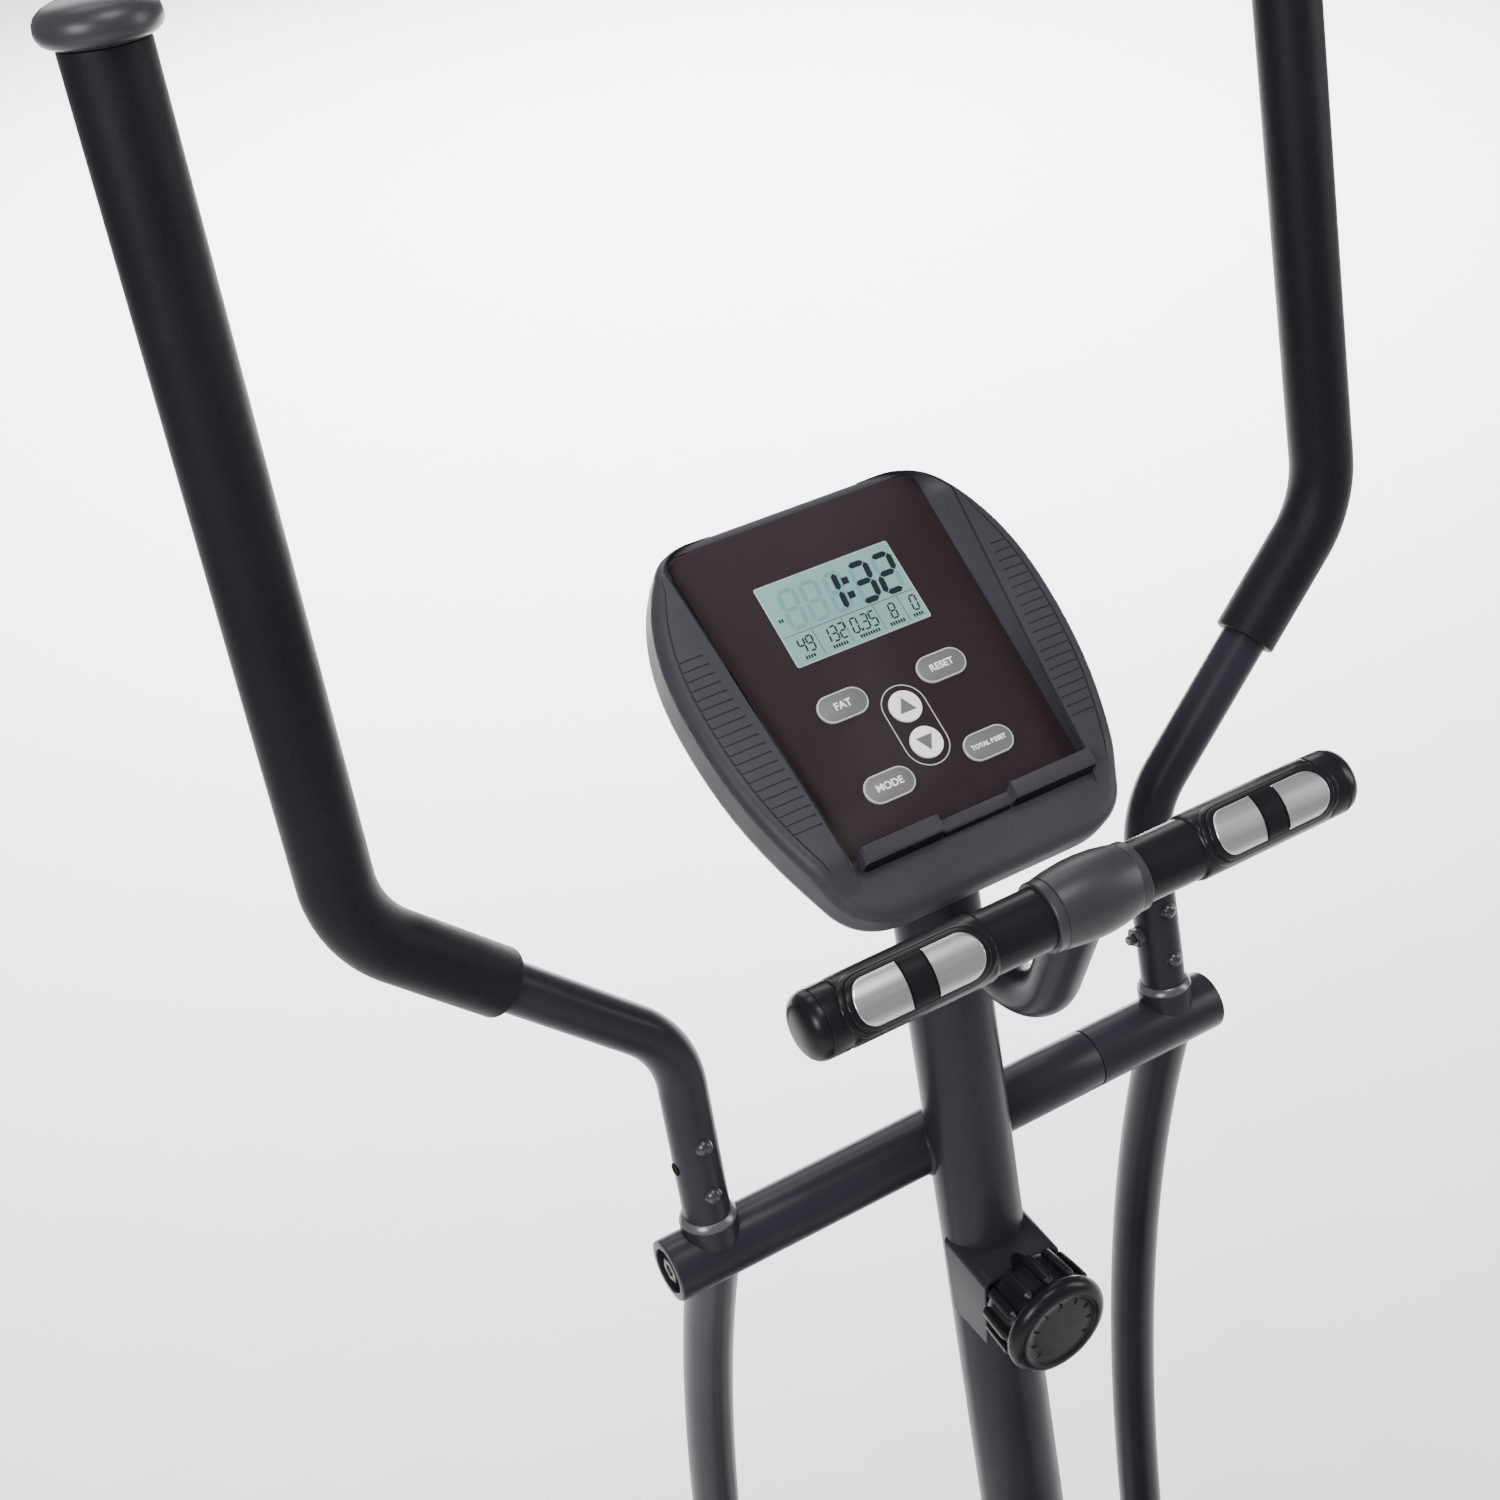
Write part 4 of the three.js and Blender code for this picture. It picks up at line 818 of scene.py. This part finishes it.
def back_ring(inset, n):
    """The outline drawn in towards its middle, which keeps its corners whole."""
    middle, height = (TOP + BOTTOM) / 2, (TOP - BOTTOM) / 2
    across, along = 1 - inset / FACE_HALF, 1 - inset / height
    half = [(p.x * across, middle + (p.y - middle) * along, n) for p in right_edge(10)]
    return half + [(-x, y, z) for x, y, z in reversed(half[1:-1])]


back = [(1, -15.4), (0.4, -15.4), (0.4, -17), (1.4, -21), (3.6, -25), (7, -27.8), (12, -29.2)]
loft("console_back_shell", [back_ring(*ring) for ring in back], CONSOLE, SHELL_DARK,
     stands_for=["console_back"])
soft_slab("console_back_hump", rounded(-55, 55, -100, 24, 14), -45, -27, 5, CONSOLE, SHELL_DARK)
soft_slab("console_mount_plate", rounded(-40, 40, -95, 5, 6), -49.5, -45.3, 0.8, CONSOLE, PAINT,
          stands_for=["console_mount"])
rod("console_mount_neck", post_at(120), post_at(226), 20.6, ROW, PAINT)
for k, (u, v) in enumerate(((-32, -87), (32, -87), (-32, -3), (32, -3))):
    bolt_head(f"mount_screw_{k}", (u, v, -49.4), (0, 0, -1), 4, CONSOLE)
soft_slab("battery_door", rounded(-30, 30, -20, 18, 3), -46.2, -44, 0.6, CONSOLE, SHELL_DARK)

# A near-black strip down the panel's left edge, over the left wing's inner slope: painted shade, as
# the same slope on the right keeps the shell's colour.
rings = []
for k in range(24):
    v = -66 + 149 * k / 23
    near = film_half(v) + 0.3
    run = max(2.5, groove_at(v, -1) - 1.1 - near)
    wide = min(run, 3.6) * smooth((v + 70) / 22) + 0.05
    lift = -1.2 + (wing_height(v) * 0.96 + 1.2) * (wide / run)
    rings.append([(-near, v, -0.55), (-near - wide, v, lift + 0.18), (-near - wide, v, lift - 1.5),
                  (-near, v, -2)])
loft("panel_left_slope_painted_shade", rings, CONSOLE, NEAR_BLACK_AND_SHADE, sharp=50)


def film_shape(inset=0):
    """The panel: straight sides that widen upwards, and a top that follows the console's edge."""
    right = [(film_half(-84) - inset, -83.7 + inset)]
    for k in range(1, 24):
        v = -83.7 + 175 * k / 24
        right.append((min(film_half(v), half_width(v) - 4.5) - inset, v))
    margin = 4.8 + inset
    for p in EDGE:
        if p.y > 91.5 and p.x > 20:
            x, y = p.x * (1 - 2.6 / 80), p.y - margin
            if x < right[-1][0] and y > right[-1][1]:
                right.append((min(x, film_half(y)) - inset, y))
    right.append((20, TOP - margin))
    return right + [(-x, y) for x, y in reversed(right)]


film = ((0.2, -1.2), (0.2, -1.1), (0, -1), (0, -0.2), (0.25, 0))
loft("panel_film", [[(x, y, n) for x, y in film_shape(inset)] for inset, n in film], CONSOLE, FILM,
     stands_for=["face_overlay"], sharp=40)


def ledge():
    """The tablet ledge: a hooked lip with a shallow gap in the middle."""
    stations = [(-66, 0.25), (-65.4, 0.85), (-64.2, 1), (-22, 1), (-21.4, 0.98),
                (-19.4, 0.62), (-18.8, 0.6), (18.8, 0.6), (19.4, 0.62), (21.4, 0.98),
                (22, 1), (68.4, 1), (69.6, 0.85), (70.2, 0.25)]
    rings = []
    for u, size in stations:
        h = 13 * size
        hook = 6 * size
        profile = [(-92.6, -0.8), (-92.2, 1.2), (-91.2, 1.7), (-90.6, 3 * size), (-89.6, h - 3.2),
                   (-90.4, h - 2.6), (-90.4, h - 1.2), (-89.8, h - 0.4), (-89, h),
                   (-88.4 + hook, h + 0.3), (-87.8 + hook, h - 0.2), (-88 + hook, h - 1.6),
                   (-87.2, h - 2.2), (-87, h * 0.5), (-86.8, -0.8)]
        rings.append([(u, v, n) for v, n in profile])
    return rings


loft("tablet_ledge", ledge(), CONSOLE, SHELL, sharp=24)
# Near-black strips on the ledge's front wall, under its hook: painted shade.
for k, (u0, u1, high) in enumerate(((-64.2, -21.8, 9.6), (-19, 19, 4.9), (21.8, 68.2, 9.6))):
    strip = ((-91.5, 2.6), (-90.75, high), (-89.6, high), (-89.6, 2.6))
    loft(f"ledge_wall_painted_shade_{k}", [[(u, v, n) for v, n in strip] for u in (u0, u1)], CONSOLE, NEAR_BLACK_AND_SHADE)


def words(name, text, size, at, body):
    """Flat white letters lying on the console's face, at (u, v, n)."""
    data = bpy.data.curves.new(name + "_curve", "FONT")
    data.body = text
    data.align_x = data.align_y = "CENTER"
    data.size = size
    data.offset, data.extrude = 0.12, 0.03
    source = bpy.data.objects.new(name + "_curve", data)
    scene.collection.objects.link(source)
    bpy.context.view_layer.update()
    flat = source.evaluated_get(bpy.context.evaluated_depsgraph_get())
    mesh = bpy.data.meshes.new_from_object(flat)
    bpy.data.objects.remove(source)
    verts = [v.co + Vector(at) for v in mesh.vertices]
    faces = [tuple(p.vertices) for p in mesh.polygons]
    bpy.data.meshes.remove(mesh)
    piece(name, verts, faces, CONSOLE, WHITE, body)


def shifted(shape, du, dv):
    return lambda inset=0: [(x + du, y + dv) for x, y in shape(inset)]


KEYS = {
    "fat": ("FAT", 5.6, -29.2, -9.1), "reset": ("RESET", 5.2, 29.2, -9.1),
    "mode": ("MODE", 5.4, -29.2, -55.9), "total_reset": ("TOTAL RESET", 3.3, 29.2, -55.9),
}
for key, (text, size, u, v) in KEYS.items():
    body = f"key_{key}"
    soft_slab(f"key_{key}_rim", shifted(pill(14, 7.6), u, v), -6.5, 1.15, 0.3, CONSOLE, KEY_EDGE,
              body, stands_for=[f"button_{key}"])
    soft_slab(f"key_{key}_top", shifted(pill(13.2, 6.8), u, v), -6.2, 1.35, 0.3, CONSOLE, KEY, body)
    words(f"key_{key}_label", text, size, (u, v, 1.36), body)

for key, v, way in (("up", -22, 1), ("down", -43.2, -1)):
    body = f"key_{key}"
    disc = shifted(pill(8.6001, 8.6, 26), 0, v)
    soft_slab(f"key_{key}_disc", disc, -6.5, 1.3, 0.35, CONSOLE, WHITE, body,
              stands_for=[f"button_{key}"])
    points = [(-4.7, v - way * 3.3), (4.7, v - way * 3.3), (0, v + way * 4.9)]
    loft(f"key_{key}_arrow", [[(x, y, n) for x, y in points] for n in (1.1, 1.37)],
         CONSOLE, KEY, body, sharp=20)

arrows_middle = (-22 - 43.2) / 2
ring = ((0, -0.1), (0, 0.08), (0.55, 0.08), (0.55, -0.1))
loft("arrow_keys_outline",
     [[(y, x + arrows_middle, n) for x, y in pill(23, 12.2)(inset)] for inset, n in ring],
     CONSOLE, KEY_EDGE, loop=True)

# ---- display
LOW, HIGH, HALF = 18.1, 64.4, 39
BORDER = 0.7
GHOST_LEVEL, INK_LEVEL = 0.13, 0.15
soft_slab("lcd_border",
          rounded(-HALF - BORDER, HALF + BORDER, LOW - BORDER, HIGH + BORDER, 1.2, 3),
          -1, 0.06, 0.05, CONSOLE, LCD_EDGE)
soft_slab("lcd_glass", rounded(-HALF, HALF, LOW, HIGH, 0.8, 3), -1, 0.12, 0.05, CONSOLE, LCD,
          stands_for=["display_screen"])

# Ends of each bar of a seven-segment digit, one unit wide and two high.
SEGMENTS = {
    "a": ((0.04, 2), (0.96, 2)), "b": ((1, 1.97), (1, 1.03)),
    "c": ((1, 0.97), (1, 0.03)), "d": ((0.04, 0), (0.96, 0)),
    "e": ((0, 0.97), (0, 0.03)), "f": ((0, 1.97), (0, 1.03)),
    "g": ((0.04, 1), (0.96, 1)),
}
DIGITS = {"0": "abcdef", "1": "bc", "2": "abged", "3": "abgcd", "4": "fgbc", "5": "afgcd",
          "8": "abcdefg", "9": "abcfgd"}


def digit_shapes(text, u, v, width, height, thick, gap, slant=0.1):
    """Bars of seven-segment digits as flat hexagons, and points as squares."""
    shapes = []
    for char in text:
        if char in ".:":
            t = thick * 0.75
            for y in [v + height * spot for spot in ((0.06,) if char == "." else (0.3, 0.7))]:
                shapes.append([(u - t, y - t), (u + t, y - t), (u + t, y + t), (u - t, y + t)])
            u += gap * 0.9
            continue
        for name in DIGITS[char]:
            a, b = (Vector((u + x * width, v + y * height / 2)) for x, y in SEGMENTS[name])
            nose = (b - a).normalized() * thick / 2
            side = Vector((-nose.y, nose.x))
            shapes.append([a, a + nose + side, b - nose + side, b, b - nose - side,
                           a + nose - side])
        u += width + gap
    return [[(x + slant * (y - v), y) for x, y in shape] for shape in shapes]


def flat_shapes(name, shapes, level, finish):
    """Flat outlines lying on the display."""
    verts, faces = [], []
    for shape in shapes:
        faces.append(tuple(range(len(verts), len(verts) + len(shape))))
        verts += [(x, y, level) for x, y in shape]
    piece(name, verts, faces, CONSOLE, finish)


def display(name, texts, level, finish):
    flat_shapes(name, [shape for text in texts for shape in digit_shapes(*text)], level, finish)


def bar(u, v, wide, high):
    return [(u, v), (u + wide, v), (u + wide, v + high), (u, v + high)]


TALL, TALL_V, SMALL, SMALL_V = 21, 37.5, 8.2, 23.6
display("lcd_ghost_digits",
        [(text, u, TALL_V, width, TALL, thick, 4.6) for text, u, width, thick in (
            ("88", -31, 8.4, 2.5), ("8", -4.4, 8.4, 2.5), ("8", 11.2, 9.6, 2.7),
            ("8", 25, 9.6, 2.7))], GHOST_LEVEL, LCD_GHOST)
display("lcd_main_digits",
        [(text, u, TALL_V, width, TALL, thick, 4.6) for text, u, width, thick in (
            ("1", -7.2, 8.4, 3.3), (":", 6.2, 2, 2.6), ("3", 10.6, 9.6, 3.3),
            ("2", 24.8, 9.6, 3.3))], INK_LEVEL, INK)
display("lcd_small_digits",
        [(text, u, SMALL_V, 3.3, SMALL, 0.95, 1.5) for text, u in (
            ("49", -33.5), ("132", -19.5), ("0.35", -2.6), ("8", 20.2), ("0", 33))],
        INK_LEVEL, INK)
# Thin rules between the fields, and rows of small marks in place of their captions.
rules = [bar(-38.5, 34.6, 77, 0.3)] + [bar(u, 19.4, 0.3, 15.2) for u in (-22.5, -5.5, 13.5, 28)]
for u, v, marks in ((-33, 20, 4), (-17, 20, 6), (-1, 20, 8), (17, 20, 6), (31, 20, 4),
                    (-36, 43, 2)):
    rules += [bar(u + 1.5 * k, v, 1.05, 1.9) for k in range(marks)]
flat_shapes("lcd_rules", rules, INK_LEVEL, INK)

# ---- base and stabilisers
def middle_of(node):
    low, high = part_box(node)
    return Vector((0, (low.y + high.y) / 2, (low.z + high.z) / 2)) / MM


STABILIZER_Z = 32


def cap_shape(inset=0):
    """A stabiliser's end cap: round on top, with a flat foot."""
    return (arc(18, 12, 12 - inset, -90, 0, 8) + arc(0, STABILIZER_Z, 30 - inset, 0, 180, 32)
            + arc(-18, 12, 12 - inset, 180, 270, 8))


for end in ("front", "rear"):
    y = middle_of(f"{end}_stabilizer").y
    rod(f"{end}_stabilizer_tube", (-219, y, STABILIZER_Z), (219, y, STABILIZER_Z), 25, ROW, PAINT,
        stands_for=[f"{end}_stabilizer"], count=56)
    for k, x in enumerate((-20, 20)):
        bolt_head(f"{end}_base_bolt_{k}", (x, y, STABILIZER_Z + 26), (0, 0, 1), 6, ROW)

cheek = [(-24, -6), (-24, 14), (-8, 16), (2, 13.5), (9.5, 9), (13, 0), (9.5, -9), (0, -13),
         (-10, -11)]
for side, sign in SIDES.items():
    for end in ("rear", "front"):
        there = placed((0, middle_of(f"{end}_stabilizer").y, 0)) @ outward(sign)
        soft_slab(f"{end}_cap_{side}_shell", cap_shape, 158, 242, 6, there, BLACK,
                  stands_for=[f"{end}_cap_{side}"])
    wheel = placed(joint_at(f"wheel_{side}"))
    hub = wheel @ outward(1)
    lathe(f"transport_wheel_{side}_tyre",
          [(4.6, -7), (8, -7), (8.6, -5.4), (14, -5.4), (14.6, -8), (17.2, -8), (18.7, -6.6),
           (19, -4.5), (19, 4.5), (18.7, 6.6), (17.2, 8), (14.6, 8), (14, 5.4), (8.6, 5.4), (8, 7),
           (4.6, 7)],
          hub, RUBBER, f"wheel_{side}", stands_for=[f"transport_wheel_{side}"], count=48, loop=True)
    for k, x in enumerate((-12.5, 12.5)):
        plate = [[(a, b, x + t) for a, b in cheek] for t in (-2.4, 2.4)]
        made = loft(f"wheel_cheek_{side}_{k}", plate, hub, BLACK)
        made.modifiers.new("edges", "BEVEL").width = 0.0008
    rod(f"wheel_pin_{side}", (-16, 0, 0), (16, 0, 0), 4, wheel, ZINC, count=24)

# ---- housing, crank and pedals
AXLE, FLY = joint_at("crank_spin"), joint_at("flywheel_spin")
REAR_RADIUS, NOSE_RADIUS = 222, 150


def housing_ring(inset, z):
    """The housing's outline: straight runs between the crank's round end and the flywheel's."""
    line = FLY - AXLE
    heading = degrees(atan2(line.z, line.y))
    opening = degrees(acos((REAR_RADIUS - NOSE_RADIUS) / line.yz.length))
    rear = arc(AXLE.y, AXLE.z, REAR_RADIUS - inset, heading + opening, heading - opening + 360, 72)
    nose = arc(FLY.y, FLY.z, NOSE_RADIUS - inset, heading - opening, heading + opening, 40)
    return [(y, up, z) for y, up in rear + nose]


def make_housing(side, sign):
    """One half of the housing, with the crank's cover turning in front of it."""
    profile = [(1.4, 0.15), (0.4, 0.5), (0, 1.4), (0, 12), (0.9, 12.6), (0.9, 15), (0, 15.6),
               (0, 46), (1, 50.5), (3.6, 54.6), (7.4, 57.2), (12, 58), (15, 58), (15.8, 57),
               (17.2, 57), (18, 58), (26, 58)]
    loft(f"housing_{side}_shell", [housing_ring(*ring) for ring in profile], ROW @ outward(sign),
         BLACK, stands_for=[f"housing_{side}"])
    lathe(f"crank_disc_{side}_cover",
          [(199, 62), (204.4, 62), (205, 62.8), (205, 74), (203.6, 78.4), (200, 81.6), (194, 83.4),
           (187, 84), (185.4, 80.4), (166.6, 80.4), (165, 84), (62, 84), (60.6, 82.8),
           (57.4, 82.8), (56, 84), (30, 84), (29, 83.2), (0, 83.2)],
          placed(AXLE) @ outward(sign), SHELL_DARK, "crank", stands_for=[f"crank_disc_{side}"],
          count=128)
    for k in range(6):
        a = 2 * pi * k / 6 + 0.4
        bolt_head(f"disc_screw_{side}_{k}",
                  (sign * 80.1, AXLE.y + 176 * cos(a), AXLE.z + 176 * sin(a)), (sign, 0, 0), 4.2,
                  ROW, "crank")


LINK = 650


def make_link(side, sign, link, body):
    """The pedal link: its tube, the hub on the crank's pin, and the fork at the arm's foot."""
    x = sign * SWING_X
    path, radii = round_ends([Vector((x, 8, 0)), Vector((x, LINK - 40, 0))], 16, 0.8)
    tube(f"pedal_link_{side}_tube", path, radii, link, PAINT, body,
         stands_for=[f"pedal_link_{side}"], count=44)
    along = link @ outward(sign)
    lathe(f"pedal_hub_{side}",
          [(9.6, 134), (18.2, 134), (19, 134.8), (19, 171.2), (18.2, 172), (9.6, 172)],
          along, PAINT, body, caps=False, count=48)
    lathe(f"pedal_pin_{side}_bolt",
          [(0, 84.55), (14.4, 84.55), (15, 85.2), (15, 91), (14, 92), (9, 92.4), (9, 133.4),
           (9, 173.6), (16, 174), (17, 175), (17, 177.4), (15.6, 179), (9, 180), (4.8, 180),
           (4.4, 177.4), (0, 177.4)],
          along, BARE, body, stands_for=[f"pedal_pin_{side}"], count=48)
    eye, root = 17, LINK - 46
    cheek = [(root, -eye)] + arc(LINK, 0, eye, -90, 90, 15) + [(root, eye)]
    for k, hand in enumerate((-1, 1)):
        middle = x + hand * 24.6
        loft(f"fork_cheek_{side}_{k}", [[(middle + t, a, b) for a, b in cheek] for t in (-2, 2)],
             link, PAINT, body)
        hexagon(f"fork_bolt_{side}_{k}", (middle + hand * 2, LINK, 0), (hand, 0, 0), 8.5, 5,
                link, body)
    forward = link @ frame_of((1, 0, 0), (0, 0, 1), (0, 1, 0), (0, 0, 0))
    soft_slab(f"fork_bridge_{side}", rounded(x - 26.4, x + 26.4, -eye, eye, 2.5, 3), root,
              root + 8, 0.8, forward, PAINT, body)
    for k, y in enumerate((170, 390)):
        soft_slab(f"foot_saddle_{side}_{k}", rounded(x - 30, x + 30, y - 12, y + 12, 3, 3), 9, 23.6,
                  0.8, link, PAINT, body)


def make_footplate(side, sign, link, body):
    """A tray with a raised rim, and a tread of short bars that cross each other's lines."""
    left, right = sorted((sign * 98, sign * 232))
    back, front = 118, 440
    shape = rounded(left, right, back, front, 26, 8)
    rings = [[(u, v, z) for u, v in shape(inset)] for inset, z in (
        (4, 24), (1.2, 24.6), (0, 27), (0, 55.4), (0.6, 57.2), (2, 58), (3.4, 57.4), (4.4, 55.6),
        (5.2, 34), (8, 32.2), (10, 32))]
    loft(f"footplate_{side}_tray", rings, link, BLACK, body, stands_for=[f"footplate_{side}"])
    verts, faces = [], []
    for row in range(24):
        for column in range(8):
            u = left + 15 + column * (right - left - 30) / 7 + (4 if row % 2 else -4)
            v = back + 26 + row * 11.6
            turn = pi / 4 if (row + column) % 2 else -pi / 4
            base = len(verts)
            for z, share in ((31.8, 1), (33.4, 0.9), (33.8, 0.6)):
                for px, py in ((-5, -1.4), (5, -1.4), (5, 1.4), (-5, 1.4)):
                    px, py = px * share, py * share
                    verts.append((u + px * cos(turn) - py * sin(turn),
                                  v + px * sin(turn) + py * cos(turn), z))
            for low in (base, base + 4):
                faces += [(low + k, low + (k + 1) % 4, low + 4 + (k + 1) % 4, low + 4 + k)
                          for k in range(4)]
            faces.append(tuple(range(base + 8, base + 12)))
    piece(f"footplate_{side}_tread", verts, faces, link, RUBBER, body)


for side, sign in SIDES.items():
    make_housing(side, sign)
    rear, front = middle_of(f"pedal_pin_{side}"), joint_at(f"pedal_{side}")
    link = turned_about_x(rear, atan2(front.z - rear.z, front.y - rear.y))
    make_link(side, sign, link, f"pedal_{side}")
    make_footplate(side, sign, link, f"pedal_{side}")

# ---- carried-over CAD nodes
KEPT = {"main_frame": PAINT, "flywheel": IRON, "brake_bracket": BARE, "crank_axle": BARE,
        "drive_pulley": BLACK, "drive_belt": RUBBER, "brake_cable": RUBBER,
        "crank_arm_left": BARE, "crank_arm_right": BARE}
for node, finish in KEPT.items():
    mesh = frame["nodes"][node].data
    if mesh.materials:
        mesh.materials[0] = finish
    else:
        mesh.materials.append(finish)


# ---- stage and light
def make_floor():
    size, level = 9, -0.0006
    corners = [(x * size, y * size, level) for x, y in ((-1, -1), (1, -1), (1, 1), (-1, 1))]
    mesh = bpy.data.meshes.new("floor")
    mesh.from_pydata(corners, [], [(0, 1, 2, 3)])
    mesh.materials.append(FLOOR)
    made = bpy.data.objects.new("floor", mesh)
    scene.collection.objects.link(made)


def area_light(name, place, target, size, power, spread=180):
    """A rectangular light in metres and watts that faces its target."""
    data = bpy.data.lights.new(name, "AREA")
    data.shape = "RECTANGLE"
    data.size, data.size_y = size
    data.energy = power
    data.spread = radians(spread)
    made = bpy.data.objects.new(name, data)
    scene.collection.objects.link(made)
    made.location = place
    made.rotation_euler = (Vector(target) - Vector(place)).to_track_quat("-Z", "Y").to_euler()


make_floor()
focus = (0, 0.35, 1.15)
area_light("key", (-2.3, -1.1, 2.7), focus, (1.2, 1.2), 84)
area_light("top", (0.1, -0.3, 3.3), focus, (0.8, 0.8), 26)
area_light("fill", (2.6, -0.9, 2), focus, (0.8, 2), 42)
area_light("back", (0.8, 3, 2.4), focus, (2.4, 1.2), 34)
# Both floor lights shine straight down in a narrow beam, so they miss the machine.
area_light("floor_wash", (1.9, 4.2, 3.6), (1.9, 4.2, 0), (5, 5), 640, 85)
area_light("floor_even", (-2.2, -2.4, 3.6), (-2.2, -2.4, 0), (3, 3), 70, 85)
world = bpy.data.worlds.new("studio")
world.use_nodes = True
sky = world.node_tree.nodes["Background"]
sky.inputs["Color"].default_value = (1, 1, 1, 1)
sky.inputs["Strength"].default_value = 0.4
scene.world = world
